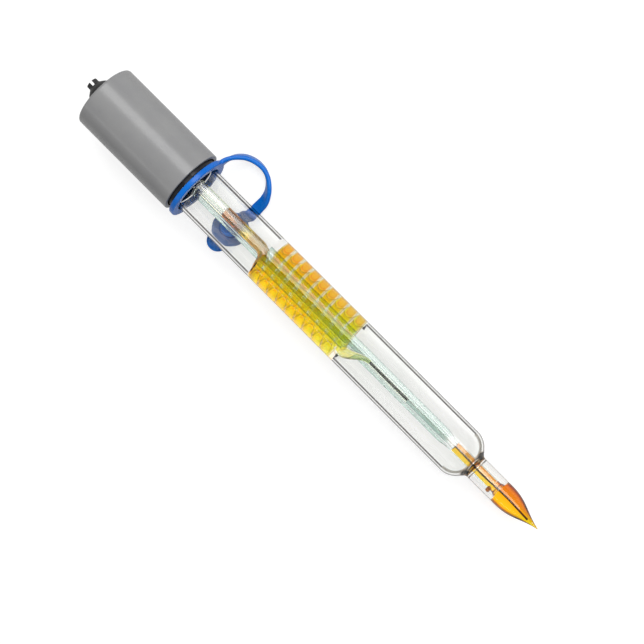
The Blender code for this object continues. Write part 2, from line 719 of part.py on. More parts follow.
def make_stem(parent):
    """Inner stem tube, drawn down above the shoulder."""
    taper = []
    for step in range(5):
        share = step / 4
        radius = blend(STEM_RADIUS, STEM_LOWER_RADIUS, share)
        taper.append((radius, STEM_TAPER_RISE - SHOULDER_DROP - STEM_TAPER_LENGTH * share))
    outline = [(STEM_BORE_RADIUS, GLASS_TOP_RISE), (STEM_RADIUS, GLASS_TOP_RISE)] + taper
    outline += [(STEM_LOWER_RADIUS, stem_end()), (STEM_BORE_RADIUS, stem_end())]
    add_object("stem_tube", turned_mesh(outline, SMALL_SIDES + 4, 0.0), "green_glass", parent)


def spear_point(share, wall):
    """A point of the spear's outline, from its base at 0 to its tip at 1, inside a wall."""
    rest = 1 - share
    along = (3 * rest ** 2 * share * BULB_FIRST_HANDLE + 3 * rest * share ** 2 * BULB_SECOND_HANDLE
             + share ** 3 * BULB_LENGTH)
    radius = (rest ** 3 * BULB_RADIUS + 3 * rest ** 2 * share * BULB_SWELL_RADIUS
              + 3 * rest * share ** 2 * BULB_WAIST_RADIUS)
    return radius - wall, bulb_base() - along


def throat_outline(inset):
    """The bulb's bore from the stem's end through the throat into the spear, as far as its point."""
    points = [(STEM_BORE_RADIUS - inset, bulb_base() + BULB_NECK_LENGTH),
              (STEM_BORE_RADIUS - inset, bulb_base() + BULB_NECK_LENGTH * 0.4)]
    steps = 10
    for step in range(1, steps + 1):
        share = 0.08 + 0.72 * step / steps
        radius, height = spear_point(share, BULB_WALL + inset)
        if radius > WIRE_RADIUS + BORE_GAP * 2:
            points.append((radius, height))
    return points


def solution_floor():
    """Height of the floor of the solution in the bulb."""
    return throat_outline(BORE_GAP)[-1][1] + BORE_GAP


def wire_end():
    """Height of the sensing wire's end, inside the bulb's solution."""
    return solution_floor() + WIRE_END_RISE


def make_bulb(parent):
    """pH-sensitive glass bulb drawn to a spear point, and the solution inside it."""
    base = bulb_base()
    throat_radius = min(STEM_LOWER_RADIUS * 1.25, neck_bore_radius() - FIT_GAP)
    outside = [(STEM_LOWER_RADIUS, base + BULB_NECK_LENGTH), (STEM_LOWER_RADIUS, base + BULB_NECK_LENGTH * 0.6),
               (throat_radius, base + BULB_NECK_LENGTH * 0.1), (throat_radius, base)]
    spear = [spear_point(share / 12, 0.0) for share in range(12)]
    inside = throat_outline(0.0)
    tip = [(0.0, base - BULB_LENGTH)]
    floor = [(0.0, inside[-1][1])]
    outline = tip + spear[::-1] + outside[::-1] + inside + floor
    add_object("spear_bulb", turned_mesh(outline, SMALL_SIDES + 8, 0.0), "clear_glass", parent)

    wire_hole = WIRE_RADIUS + BORE_GAP
    liquid = throat_outline(BORE_GAP)
    wire_floor = wire_end() - BORE_GAP
    level = SOLUTION_RISE - SHOULDER_DROP
    outline = [(wire_hole, level), (STEM_BORE_RADIUS - BORE_GAP, level)]
    outline += liquid[:-1] + [(liquid[-1][0], solution_floor()), (0.0, solution_floor())]
    outline = [(0.0, wire_floor), (wire_hole, wire_floor)] + outline
    add_object("bulb_solution", turned_mesh(outline, SMALL_SIDES, 0.0), "yellow_solution", parent)


def make_platinum_wire(parent):
    """Sensing wire on the axis, from its ferrule down into the bulb."""
    mesh = rod_mesh(WIRE_RADIUS, wire_end(), FERRULE_HEIGHT + FERRULE_LENGTH / 2, COIL_SIDES)
    add_object("platinum_wire", mesh, "platinum", parent)


def on_drum(along, height, radius):
    """The point at a length round a drum of the coil's radius, measured from the reference tube."""
    angle = REFERENCE_ANGLE - math.degrees(along / COIL_RADIUS)
    return radial(angle, radius, height)


def reference_path():
    """Middle line of the reference glass: straight, a bend, the coil, a second bend, the capillary.

    Returns the points with the outer and the bore radius at each, and the height of the wick's top.
    """
    path = []
    outer = []
    bore = []

    def add(point, outside=COIL_TUBE_RADIUS, inside=COIL_BORE_RADIUS):
        path.append(point)
        outer.append(outside)
        bore.append(inside)

    slope = math.atan2(COIL_PITCH, math.tau * COIL_RADIUS)
    turn = math.pi / 2 - slope
    dip = -REFERENCE_LEVEL_DROP - REFERENCE_WIRE_DIP
    for height in (GLASS_TOP_RISE, -REFERENCE_LEVEL_DROP, dip, dip - BORE_GAP):
        add(on_drum(0.0, height, REFERENCE_RADIUS))
    bend_steps = 6
    for step in range(bend_steps + 1):
        angle = turn * step / bend_steps
        along = COIL_BEND_RADIUS * (1 - math.cos(angle))
        height = -COIL_BEND_DROP - COIL_BEND_RADIUS * math.sin(angle)
        add(on_drum(along, height, blend(REFERENCE_RADIUS, COIL_RADIUS, step / bend_steps)))
    start_along = COIL_BEND_RADIUS * (1 - math.cos(turn))
    start_height = -COIL_BEND_DROP - COIL_BEND_RADIUS * math.sin(turn)
    steps = round(COIL_TURNS * COIL_STEPS)
    for step in range(1, steps + 1):
        share = step / COIL_STEPS
        add(on_drum(start_along + math.tau * COIL_RADIUS * share, start_height - COIL_PITCH * share, COIL_RADIUS))
    end_height = start_height - COIL_PITCH * steps / COIL_STEPS
    for angle, inward, drop, drawn in TAIL_STATIONS:
        radius = COIL_RADIUS + (CAPILLARY_PLACE_RADIUS - COIL_RADIUS) * inward
        outside = COIL_TUBE_RADIUS + (CAPILLARY_RADIUS - COIL_TUBE_RADIUS) * drawn
        inside = COIL_BORE_RADIUS + (CAPILLARY_BORE_RADIUS - COIL_BORE_RADIUS) * drawn
        add(radial(angle, radius, end_height - drop), outside, inside)
    wick_top = path[-1].z - WICK_TOP_DROP
    for height in (wick_top, wick_top - WICK_LENGTH):
        add(radial(CAPILLARY_ANGLE, CAPILLARY_PLACE_RADIUS, height), CAPILLARY_RADIUS, CAPILLARY_BORE_RADIUS)
    return path, outer, bore


def make_reference(parent):
    """Reference tube with its coil, the solution in it, the wick and the wire."""
    path, outer, bore = reference_path()
    rings = round_sections(path, outer, COIL_SIDES)
    bores = round_sections(path, bore, COIL_SIDES)
    add_object("reference_coil", loft(rings, bores), "clear_glass", parent)

    level_station = 1
    wire_station = 3
    wick_station = len(path) - 2
    columns = round_sections(path, [radius - BORE_GAP for radius in bore], COIL_SIDES)
    wells = round_sections(path, [WIRE_RADIUS + BORE_GAP] * len(path), COIL_SIDES)
    last = len(path) - 1
    top_of_wick = path[wick_station] + Vector((0, 0, BORE_GAP))
    shift = top_of_wick - path[wick_station]
    columns[wick_station] = [point + shift for point in columns[wick_station]]
    mesh = loft(columns[level_station:last], wells[level_station:wire_station + 1])
    add_object("reference_solution", mesh, "orange_solution", parent)

    wick = rod_mesh(CAPILLARY_BORE_RADIUS - BORE_GAP, path[last].z, path[wick_station].z, COIL_SIDES)
    place = Vector((path[last].x, path[last].y, 0.0))
    bmesh.ops.translate(wick, vec=place, verts=wick.verts)
    add_object("inner_junction", wick, "dark_fibre", parent)

    place = radial(REFERENCE_ANGLE, REFERENCE_RADIUS, 0.0)
    wire = rod_mesh(WIRE_RADIUS, path[2].z, FERRULE_HEIGHT + FERRULE_LENGTH / 2, COIL_SIDES)
    bmesh.ops.translate(wire, vec=place, verts=wire.verts)
    add_object("reference_wire", wire, "platinum", parent)


def make_fill_cover(parent):
    """Blue ring round the tube, with its strap."""
    low = -RING_FOOT_DROP
    mesh = tube_mesh(CAP_RADIUS, RING_BORE_RADIUS, low, -RING_DROP, CAP_SIDES, facet_phase(CAP_SIDES))
    ring = add_object("fill_cover", mesh, "blue_elastomer", parent)
    strap = make_cutter("strap_guide", loft(strap_sections()), parent)
    boolean(ring, strap, 'UNION')


def make_fill_plug(electrode):
    """Blue pad and pull tab with the peg that closes the fill hole, on the hole's own axis."""
    out = radial(PLUG_ANGLE, 1.0, 0.0)
    frame = bpy.data.objects.new("plug_axis", None)
    frame.location = radial(PLUG_ANGLE, PAD_MIDDLE_RADIUS, -FILL_HOLE_DROP)
    frame.rotation_euler = out.to_track_quat('Z', 'Y').to_euler()
    bpy.context.collection.objects.link(frame)
    frame.parent = electrode
    bpy.context.view_layer.update()
    to_frame = frame.matrix_basis.inverted()

    pad = loft(pad_sections())
    bmesh.ops.transform(pad, matrix=to_frame, verts=pad.verts)
    plug = add_object("fill_plug", pad, "blue_elastomer", frame)

    peg_end = TUBE_RADIUS - PEG_LENGTH - PAD_MIDDLE_RADIUS
    peg = turned_mesh([(0.0, peg_end)] + arc((PEG_RADIUS - PEG_ROUND, peg_end + PEG_ROUND), PEG_ROUND, -90, 0, 3)
                      + [(PEG_RADIUS, 0.0), (0.0, 0.0)], TUBE_SIDES // 2, 0.0)
    boolean(plug, make_cutter("peg_guide", peg, frame), 'UNION')


def lay_on_table(electrode):
    """Tilt and roll the electrode, then set the middle of its footprint on the origin."""
    along = Vector((math.cos(TABLE_TILT), 0, math.sin(TABLE_TILT)))
    down = Vector((math.sin(TABLE_TILT), 0, -math.cos(TABLE_TILT)))
    side = along.cross(down)
    own_x = down * math.sin(TABLE_ROLL) - side * math.cos(TABLE_ROLL)
    own_y = down * math.cos(TABLE_ROLL) + side * math.sin(TABLE_ROLL)
    turn = Matrix((own_x, own_y, along)).transposed()
    electrode.rotation_euler = turn.to_euler()
    bpy.context.view_layer.update()
    corners = []
    for thing in bpy.data.objects:
        if thing.type == 'MESH' and not thing.hide_render:
            corners += [thing.matrix_world @ vertex.co for vertex in thing.data.vertices]
            if thing.name == "fill_cover":
                strap = bpy.data.objects["strap_guide"]
                corners += [strap.matrix_world @ vertex.co for vertex in strap.data.vertices]
    low = Vector([min(corner[axis] for corner in corners) for axis in range(3)])
    high = Vector([max(corner[axis] for corner in corners) for axis in range(3)])
    electrode.location = (-(low.x + high.x) / 2, -(low.y + high.y) / 2, -low.z)
    bpy.context.view_layer.update()


def main():
    """Build every piece and lay the electrode on the table."""
    clear_scene()
    electrode = bpy.data.objects.new("electrode_axis", None)
    bpy.context.collection.objects.link(electrode)
    make_cap(electrode)
    make_strain_relief(electrode)
    make_collar(electrode)
    make_stopper(electrode)
    make_potting(electrode)
    make_ferrule("signal_splice", Vector((0, 0, 0)), electrode)
    make_ferrule("reference_splice", radial(REFERENCE_ANGLE, REFERENCE_RADIUS, 0.0), electrode)
    make_outer_tube(electrode)
    make_neck(electrode)
    make_stem(electrode)
    make_bulb(electrode)
    make_platinum_wire(electrode)
    make_reference(electrode)
    make_fill_cover(electrode)
    make_fill_plug(electrode)
    lay_on_table(electrode)


main()
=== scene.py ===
"""Looks of a combination pH electrode with a spear tip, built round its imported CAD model.

Every shape is made in the electrode's own frame, in metres: +Z runs along the axis towards the cap
with zero at the cap's lower rim, +X points to the side of the strap's loop, and -Y to the viewer.
The frame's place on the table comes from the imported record.
"""
from __future__ import annotations

import json
import logging
import math
from dataclasses import dataclass, field
from enum import Enum
from typing import Any, Callable, Sequence

import bmesh
import bpy
from mathutils import Matrix, Vector

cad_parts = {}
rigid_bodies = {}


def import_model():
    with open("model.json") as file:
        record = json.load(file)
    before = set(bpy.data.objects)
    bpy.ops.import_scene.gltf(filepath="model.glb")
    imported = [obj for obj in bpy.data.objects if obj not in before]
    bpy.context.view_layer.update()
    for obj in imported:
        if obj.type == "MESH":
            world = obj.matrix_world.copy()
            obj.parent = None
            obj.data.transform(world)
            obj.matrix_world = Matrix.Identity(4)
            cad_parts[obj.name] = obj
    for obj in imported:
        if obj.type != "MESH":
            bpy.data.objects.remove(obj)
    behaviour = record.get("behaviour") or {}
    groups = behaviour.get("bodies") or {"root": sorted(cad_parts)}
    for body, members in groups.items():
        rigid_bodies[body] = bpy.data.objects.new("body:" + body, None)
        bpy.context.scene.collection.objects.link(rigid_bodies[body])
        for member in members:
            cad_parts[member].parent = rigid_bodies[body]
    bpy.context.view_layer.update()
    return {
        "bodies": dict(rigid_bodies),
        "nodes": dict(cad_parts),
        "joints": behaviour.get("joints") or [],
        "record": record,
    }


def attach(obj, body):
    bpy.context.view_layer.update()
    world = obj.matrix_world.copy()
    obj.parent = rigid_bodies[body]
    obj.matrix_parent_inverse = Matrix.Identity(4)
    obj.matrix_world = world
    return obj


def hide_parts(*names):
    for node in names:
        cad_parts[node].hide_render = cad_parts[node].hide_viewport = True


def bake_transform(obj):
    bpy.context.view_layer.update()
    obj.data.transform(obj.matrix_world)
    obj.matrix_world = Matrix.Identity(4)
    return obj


LOG = logging.getLogger("electrode")
Outline = list[tuple[float, float]]
Course = list[tuple[Vector, float, float]]
Stops = Sequence[tuple[float, str]]
AXIS = Vector((0, 0, 1))
SIDE = Vector((1, 0, 0))
TO_MM = 1000.0


class Body(Enum):
    """The bodies that pieces ride on."""

    ELECTRODE = "electrode"
    PLUG = "plug"


class Slot(Enum):
    """The record's material slots."""

    GREY_PLASTIC = "grey_plastic"
    BLACK_PLASTIC = "black_plastic"
    BLUE_ELASTOMER = "blue_elastomer"
    CLEAR_GLASS = "clear_glass"
    GREEN_GLASS = "green_glass"
    YELLOW_SOLUTION = "yellow_solution"
    ORANGE_SOLUTION = "orange_solution"
    PLATINUM = "platinum"
    DARK_FIBRE = "dark_fibre"
    BROWN_CERAMIC = "brown_ceramic"


@dataclass(frozen=True)
class FillHole:
    """The fill hole in the back of the tube.

    Attributes:
        radius: Its radius.
        drop: How far below the cap's rim its middle lies.
        angle: Direction that it faces, in degrees round the axis.
    """

    radius: float = 0.0025
    drop: float = 0.0129
    angle: float = 104.0


HOLE = FillHole()


# Numbers along curves


def shares(steps: int) -> list[float]:
    """Even shares from 0 to 1."""
    return [step / steps for step in range(steps + 1)]


def step_between(start: float, end: float, share: float) -> float:
    """A smooth step from start to end.

    Args:
        start: Value at share 0.
        end: Value at share 1.
        share: How far along, held between 0 and 1.

    Returns:
        The value there.
    """
    share = min(max(share, 0.0), 1.0)
    return start + (end - start) * share * share * (3 - 2 * share)


def arc(centre: tuple[float, float], radius: float, start: float, end: float, steps: int) -> Outline:
    """Points of a circular arc in the (radius, height) plane.

    Args:
        centre: The arc's centre.
        radius: Its radius.
        start: First angle in degrees.
        end: Last angle in degrees.
        steps: Number of steps.

    Returns:
        The points in order.
    """
    angles = [math.radians(start + (end - start) * share) for share in shares(steps)]
    return [(centre[0] + radius * math.cos(angle), centre[1] + radius * math.sin(angle)) for angle in angles]


def round_corners(outline: Outline, sizes: dict[int, float], steps: int = 4) -> Outline:
    """Round some corners of an outline with short curves.

    Args:
        outline: The (radius, height) points.
        sizes: For each corner's index, how far from it the curve starts.
        steps: Steps of each curve.

    Returns:
        The outline with its corners rounded.
    """
    result: Outline = []
    for index, point in enumerate(outline):
        if index not in sizes:
            result.append(point)
            continue
        corner = Vector((*point, 0.0))
        before = Vector((*outline[index - 1], 0.0)) - corner
        after = Vector((*outline[(index + 1) % len(outline)], 0.0)) - corner
        start = corner + before.normalized() * sizes[index]
        end = corner + after.normalized() * sizes[index]
        for share in shares(steps):
            place = start * (1 - share) ** 2 + corner * (2 * share * (1 - share)) + end * share ** 2
            result.append((place.x, place.y))
    return result


def radial(angle: float, radius: float, height: float) -> Vector:
    """The point at an angle in degrees round the axis."""
    turn = math.radians(angle)
    return Vector((radius * math.cos(turn), radius * math.sin(turn), height))


def smooth_path(points: Sequence[Vector], steps: int) -> list[Vector]:
    """Points of a Catmull-Rom curve.

    Args:
        points: The stations that it passes through.
        steps: Steps between two stations.

    Returns:
        The curve's points, with the last station as the last of them.
    """
    padded = [points[0] * 2 - points[1], *points, points[-1] * 2 - points[-2]]
    curve = []
    for a, b, c, d in zip(padded, padded[1:], padded[2:], padded[3:]):
        for t in shares(steps)[:-1]:
            curve.append(0.5 * (2 * b + (c - a) * t + (2 * a - 5 * b + 4 * c - d) * t ** 2
                                + (3 * b - a - 3 * c + d) * t ** 3))
    curve.append(points[-1].copy())
    return curve


# Meshes


def supported(outline: Outline, step: float = 0.00003) -> Outline:
    """Add a point just inside each end of an outline's long lines.

    The shading normals are true at those points, so a long wall refracts as a straight wall does and
    isn't bent by the rounding at its ends.

    Args:
        outline: The (radius, height) points.
        step: How far inside the ends the points lie.

    Returns:
        The outline with the added points.
    """
    result: Outline = []
    for (radius, height), (next_radius, next_height) in zip(outline, outline[1:] + outline[:1]):
        result.append((radius, height))
        length = math.hypot(next_radius - radius, next_height - height)
        if length > 12 * step and not (radius == 0.0 and next_radius == 0.0):
            for share in (step / length, 1 - step / length):
                result.append((radius + (next_radius - radius) * share,
                               height + (next_height - height) * share))
    return result


def revolve(outline: Outline, sides: int) -> bmesh.types.BMesh:
    """Turn a closed outline about the axis.

    Args:
        outline: (radius, height) points in order. One that starts and ends on the axis closes there.
        sides: Facets round the axis.

    Returns:
        The closed mesh.
    """
    outline = supported(outline)
    bm = bmesh.new()
    ring = [bm.verts.new((radius, 0.0, height)) for radius, height in outline]
    edges = [bm.edges.new(pair) for pair in zip(ring, ring[1:])]
    if not (outline[0][0] == 0.0 and outline[-1][0] == 0.0):
        edges.append(bm.edges.new((ring[-1], ring[0])))
    bmesh.ops.spin(bm, geom=ring + edges, cent=(0, 0, 0), axis=(0, 0, 1), angle=math.tau, steps=sides,
                   use_merge=True)
    bmesh.ops.remove_doubles(bm, verts=bm.verts, dist=1e-7)
    return bm


def skin(rings: Sequence[Sequence[Vector]], bores: Sequence[Sequence[Vector]] = ()) -> bmesh.types.BMesh:
    """Skin closed rings of points in order, with a blind or a through bore from the first end.

    Args:
        rings: The outer rings.
        bores: The bore's rings, one for each of the first stations that it reaches.

    Returns:
        The closed mesh.
    """
    bm = bmesh.new()

    def rows_of(loops: Sequence[Sequence[Vector]]) -> list[list[bmesh.types.BMVert]]:
        """Add rings of vertices and the faces between them."""
        rows = [[bm.verts.new(point) for point in loop] for loop in loops]
        for low, high in zip(rows, rows[1:]):
            for index in range(len(low)):
                after = (index + 1) % len(low)
                bm.faces.new((low[index], low[after], high[after], high[index]))
        return rows

    outer = rows_of(rings)
    inner = rows_of(bores) if bores else []
    if inner:
        for index in range(len(outer[0])):
            after = (index + 1) % len(outer[0])
            bm.faces.new((outer[0][index], outer[0][after], inner[0][after], inner[0][index]))
        bm.faces.new(inner[-1])
    else:
        bm.faces.new(outer[0])
    bm.faces.new(outer[-1])
    return bm


def tube_rings(path: Sequence[Vector], radii: Sequence[float], sides: int) -> list[list[Vector]]:
    """Rings round a path, carried along it without twist.

    Args:
        path: The middle line.
        radii: The radius at each of its points.
        sides: Points of each ring.

    Returns:
        One ring for each point of the path.
    """
    rings = []
    across = (path[1] - path[0]).orthogonal()
    for index, (point, radius) in enumerate(zip(path, radii)):
        along = (path[min(index + 1, len(path) - 1)] - path[max(index - 1, 0)]).normalized()
        across = (across - along * across.dot(along)).normalized()
        other = along.cross(across)
        turns = [math.tau * side / sides for side in range(sides)]
        rings.append([point + across * (radius * math.cos(turn)) + other * (radius * math.sin(turn))
                      for turn in turns])
    return rings


def box_mesh(size: tuple[float, float, float], centre: tuple[float, float, float]) -> bmesh.types.BMesh:
    """A block to cut with.

    Args:
        size: Its three sides.
        centre: Its middle.

    Returns:
        The closed mesh.
    """
    bm = bmesh.new()
    bmesh.ops.create_cube(bm, size=1.0)
    bmesh.ops.scale(bm, vec=size, verts=bm.verts)
    bmesh.ops.translate(bm, vec=centre, verts=bm.verts)
    return bm


def frame_matrix(origin: Vector, own_x: Vector, own_y: Vector, own_z: Vector) -> Matrix:
    """The matrix of a frame from its origin and its axes."""
    return Matrix.Translation(origin) @ Matrix((own_x, own_y, own_z)).transposed().to_4x4()


def point_outwards(bm: bmesh.types.BMesh, angle: float, height: float) -> bmesh.types.BMesh:
    """Turn a mesh made along +Z so that it points out from the axis.

    Args:
        bm: The mesh.
        angle: Direction round the axis in degrees.
        height: Height of its middle line.

    Returns:
        The same mesh.
    """
    place = (Matrix.Translation((0, 0, height)) @ Matrix.Rotation(math.radians(angle), 4, 'Z')
             @ Matrix.Rotation(math.radians(90.0), 4, 'Y'))
    bmesh.ops.transform(bm, matrix=place, verts=bm.verts)
    return bm


def to_mesh(bm: bmesh.types.BMesh) -> bpy.types.Mesh:
    """Turn a bmesh into a mesh with its normals outwards."""
    bmesh.ops.recalc_face_normals(bm, faces=bm.faces)
    mesh = bpy.data.meshes.new("mesh")
    bm.to_mesh(mesh)
    bm.free()
    return mesh


def link_object(name: str, mesh: bpy.types.Mesh) -> bpy.types.Object:
    """Put a mesh into the scene as an object."""
    thing = bpy.data.objects.new(name, mesh)
    bpy.context.scene.collection.objects.link(thing)
    return thing


def settled_mesh(thing: bpy.types.Object) -> bpy.types.Mesh:
    """The mesh of an object with its modifiers applied."""
    bpy.context.view_layer.update()
    evaluated = thing.evaluated_get(bpy.context.evaluated_depsgraph_get())
    return bpy.data.meshes.new_from_object(evaluated)


def cut_away(mesh: bpy.types.Mesh, cutters: Sequence[bmesh.types.BMesh]) -> bpy.types.Mesh:
    """Cut a mesh with closed shapes.

    Args:
        mesh: The mesh to cut.
        cutters: The shapes to take away.

    Returns:
        A new mesh.
    """
    target = link_object("cut_target", mesh)
    tools = []
    for index, cutter in enumerate(cutters):
        tool = link_object(f"cut_tool_{index}", to_mesh(cutter))
        modifier = target.modifiers.new("Cut", 'BOOLEAN')
        modifier.operation = 'DIFFERENCE'
        modifier.solver = 'EXACT'
        modifier.object = tool
        tools.append(tool)
    result = settled_mesh(target)
    for thing in [target, *tools]:
        bpy.data.objects.remove(thing, do_unlink=True)
    return result


# The electrode's own frame


@dataclass(frozen=True)
class ElectrodeFrame:
    """Where the electrode's own frame lies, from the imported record.

    Attributes:
        seat_behind: Where the record's seat lies in the frame, behind the axis.
        seat_height: Its height in the frame.
    """

    seat_behind: float = -0.00725
    seat_height: float = -0.0025

    def matrix(self, record: dict[str, Any], joints: Sequence[dict[str, Any]]) -> Matrix:
        """Work out the frame's place on the table.

        Args:
            record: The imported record.
            joints: Its joints.

        Returns:
            The matrix from the electrode's frame to the table.
        """
        seat = next(mount for mount in record["mounts"] if mount["name"] == "holder_seat")
        pull = next(joint for joint in joints if joint["name"] == "plug_pull")
        up = -Vector(seat["axis"]).normalized()
        out = Vector(pull["axis"])
        out = (out - up * out.dot(up)).normalized()
        turned = up.cross(out)
        angle = math.radians(HOLE.angle)
        own_x = out * math.cos(angle) - turned * math.sin(angle)
        own_y = out * math.sin(angle) + turned * math.cos(angle)
        turn = Matrix((own_x, own_y, up)).transposed()
        origin = Vector(seat["pos_m"]) - turn @ Vector((0, self.seat_behind, self.seat_height))
        return Matrix.Translation(origin) @ turn.to_4x4()


# Materials


def linear(colour: str) -> tuple[float, float, float, float]:
    """Turn an sRGB hex colour into linear RGBA."""
    parts = [int(colour[index:index + 2], 16) / 255 for index in (1, 3, 5)]
    red, green, blue = (part / 12.92 if part <= 0.04045 else ((part + 0.055) / 1.055) ** 2.4
                        for part in parts)
    return red, green, blue, 1.0


def add_node(tree: bpy.types.NodeTree, kind: str, values: dict[Any, Any] | None = None,
             links: dict[Any, Any] | None = None, **settings: Any) -> bpy.types.Node:
    """Add a node with its settings and links.

    Args:
        tree: The node tree.
        kind: The node's type, such as ShaderNodeBump.
        values: Input values by name or index.
        links: Sockets to join to its inputs, by name or index.
        **settings: The node's own properties.

    Returns:
        The node.
    """
    node = tree.nodes.new(kind)
    for name, value in settings.items():
        setattr(node, name, value)
    for key, value in (values or {}).items():
        node.inputs[key].default_value = value
    for key, socket in (links or {}).items():
        tree.links.new(socket, node.inputs[key])
    return node


def colour_ramp(tree: bpy.types.NodeTree, share: bpy.types.NodeSocket,
                stops: Stops) -> bpy.types.NodeSocket:
    """Run a number from 0 to 1 through colours.

    Args:
        tree: The node tree.
        share: The number's socket.
        stops: Places and hex colours.

    Returns:
        The colour's socket.
    """
    ramp = add_node(tree, "ShaderNodeValToRGB", links={0: share})
    elements = ramp.color_ramp.elements
    while len(elements) > 1:
        elements.remove(elements[-1])
    for index, (place, colour) in enumerate(stops):
        element = elements[0] if index == 0 else elements.new(place)
        element.position = place
        element.color = linear(colour)
    return ramp.outputs["Color"]


def object_place(tree: bpy.types.NodeTree) -> bpy.types.NodeSocket:
    """The place on the object, in metres."""
    return add_node(tree, "ShaderNodeTexCoord").outputs["Object"]


def noise(tree: bpy.types.NodeTree, width_mm: float, detail: float,
          place: bpy.types.NodeSocket | None = None) -> bpy.types.NodeSocket:
    """A noise pattern of a real width.

    Args:
        tree: The node tree.
        width_mm: Width of its patches.
        detail: Finer octaves on top.
        place: Where it is read, or None for the place on the object.

    Returns:
        The pattern's socket, from 0 to 1.
    """
    return add_node(tree, "ShaderNodeTexNoise", {"Scale": TO_MM / width_mm, "Detail": detail},
                    {"Vector": place or object_place(tree)}).outputs["Fac"]


def spread(tree: bpy.types.NodeTree, pattern: bpy.types.NodeSocket, middle: float,
           reach: float) -> bpy.types.NodeSocket:
    """A number that a pattern moves round a middle value.

    Args:
        tree: The node tree.
        pattern: The pattern's socket.
        middle: The middle value.
        reach: How far it goes to each side.

    Returns:
        The number's socket.
    """
    return add_node(tree, "ShaderNodeMapRange", {"To Min": middle - reach, "To Max": middle + reach},
                    {"Value": pattern}).outputs["Result"]


def multiplied(tree: bpy.types.NodeTree, first: bpy.types.NodeSocket,
               second: bpy.types.NodeSocket) -> bpy.types.NodeSocket:
    """The product of two colours."""
    return add_node(tree, "ShaderNodeMix", {0: 1.0}, {6: first, 7: second}, data_type='RGBA',
                    blend_type='MULTIPLY').outputs[2]


def share_along(tree: bpy.types.NodeTree, frame: Matrix, axis: Vector, first: float,
                last: float) -> bpy.types.NodeSocket:
    """A number that runs from 0 to 1 between two places along one of the frame's axes.

    Args:
        tree: The node tree.
        frame: The electrode's frame.
        axis: The axis, in that frame.
        first: Place at which it is 0.
        last: Place at which it is 1.

    Returns:
        The number's socket.
    """
    offset = add_node(tree, "ShaderNodeVectorMath", {1: frame @ (axis * first)}, {0: object_place(tree)},
                      operation='SUBTRACT')
    share = add_node(tree, "ShaderNodeVectorMath", {1: frame.to_3x3() @ axis / (last - first)},
                     {0: offset.outputs[0]}, operation='DOT_PRODUCT')
    return share.outputs["Value"]


def from_axis(tree: bpy.types.NodeTree, frame: Matrix) -> bpy.types.NodeSocket:
    """The distance from the electrode's axis.

    Args:
        tree: The node tree.
        frame: The electrode's frame.

    Returns:
        The distance's socket.
    """
    offset = add_node(tree, "ShaderNodeVectorMath", {1: frame.translation}, {0: object_place(tree)},
                      operation='SUBTRACT')
    across = add_node(tree, "ShaderNodeVectorMath", {1: frame.to_3x3() @ AXIS},
                      {0: offset.outputs[0]}, operation='CROSS_PRODUCT')
    return add_node(tree, "ShaderNodeVectorMath", links={0: across.outputs[0]},
                    operation='LENGTH').outputs["Value"]


def height_ramp(tree: bpy.types.NodeTree, frame: Matrix, stops: Stops) -> bpy.types.NodeSocket:
    """Colours by height on the electrode's axis.

    Args:
        tree: The node tree.
        frame: The electrode's frame.
        stops: Heights, from the first to the last, and hex colours.

    Returns:
        The colour's socket.
    """
    first, last = stops[0][0], stops[-1][0]
    placed = [((height - first) / (last - first), colour) for height, colour in stops]
    return colour_ramp(tree, share_along(tree, frame, AXIS, first, last), placed)


def make_clear(tree: bpy.types.NodeTree, shader: bpy.types.Node, colour: bpy.types.NodeSocket,
               ior: float) -> None:
    """Let a shader's light through, smooth and tinted.

    Args:
        tree: The node tree.
        shader: Its Principled shader.
        colour: The tint's socket.
        ior: Index of refraction.
    """
    tree.links.new(colour, shader.inputs["Base Color"])
    shader.inputs["IOR"].default_value = ior
    shader.inputs["Roughness"].default_value = 0.0
    shader.inputs["Transmission Weight"].default_value = 1.0


@dataclass(frozen=True)
class Finish:
    """How a piece looks.

    Attributes:
        name: Real material and how it was made.
    """

    name: str

    def material(self, frame: Matrix) -> bpy.types.Material:
        """Make the material.

        Args:
            frame: The electrode's frame.

        Returns:
            The material.
        """
        material = bpy.data.materials.new(self.name)
        material.use_nodes = True
        tree = material.node_tree
        self.set_up(tree, tree.nodes["Principled BSDF"], frame)
        return material

    def set_up(self, tree: bpy.types.NodeTree, shader: bpy.types.Node, frame: Matrix) -> None:
        """Set up the shader, which each kind of finish does in its own way.

        Args:
            tree: The node tree.
            shader: Its Principled shader.
            frame: The electrode's frame.
        """
        raise NotImplementedError


@dataclass(frozen=True)
class MouldedFinish(Finish):
    """A moulded plastic or rubber with a fine grain.

    Attributes:
        colour: Its colour.
        shade: The colour that its mottling goes to.
        roughness: Middle of its roughness.
        grain_mm: Width of the mould's grain.
        depth_mm: Depth of that grain.
        mottle_mm: Width of the slow changes in colour.
        ior: Index of refraction.
    """

    colour: str
    shade: str
    roughness: float
    grain_mm: float
    depth_mm: float
    mottle_mm: float
    ior: float

    def set_up(self, tree: bpy.types.NodeTree, shader: bpy.types.Node, frame: Matrix) -> None:
        """Mottle the colour and roughen the skin, the same all over the electrode."""
        mottle = noise(tree, self.mottle_mm, 3.0)
        colour = colour_ramp(tree, mottle, ((0.35, self.shade), (0.65, self.colour)))
        grain = noise(tree, self.grain_mm, 2.0)
        bump = add_node(tree, "ShaderNodeBump", {"Strength": 1.0, "Distance": self.depth_mm / TO_MM},
                        {"Height": grain})
        shader.inputs["IOR"].default_value = self.ior
        tree.links.new(colour, shader.inputs["Base Color"])
        tree.links.new(spread(tree, grain, self.roughness, 0.06), shader.inputs["Roughness"])
        tree.links.new(bump.outputs["Normal"], shader.inputs["Normal"])


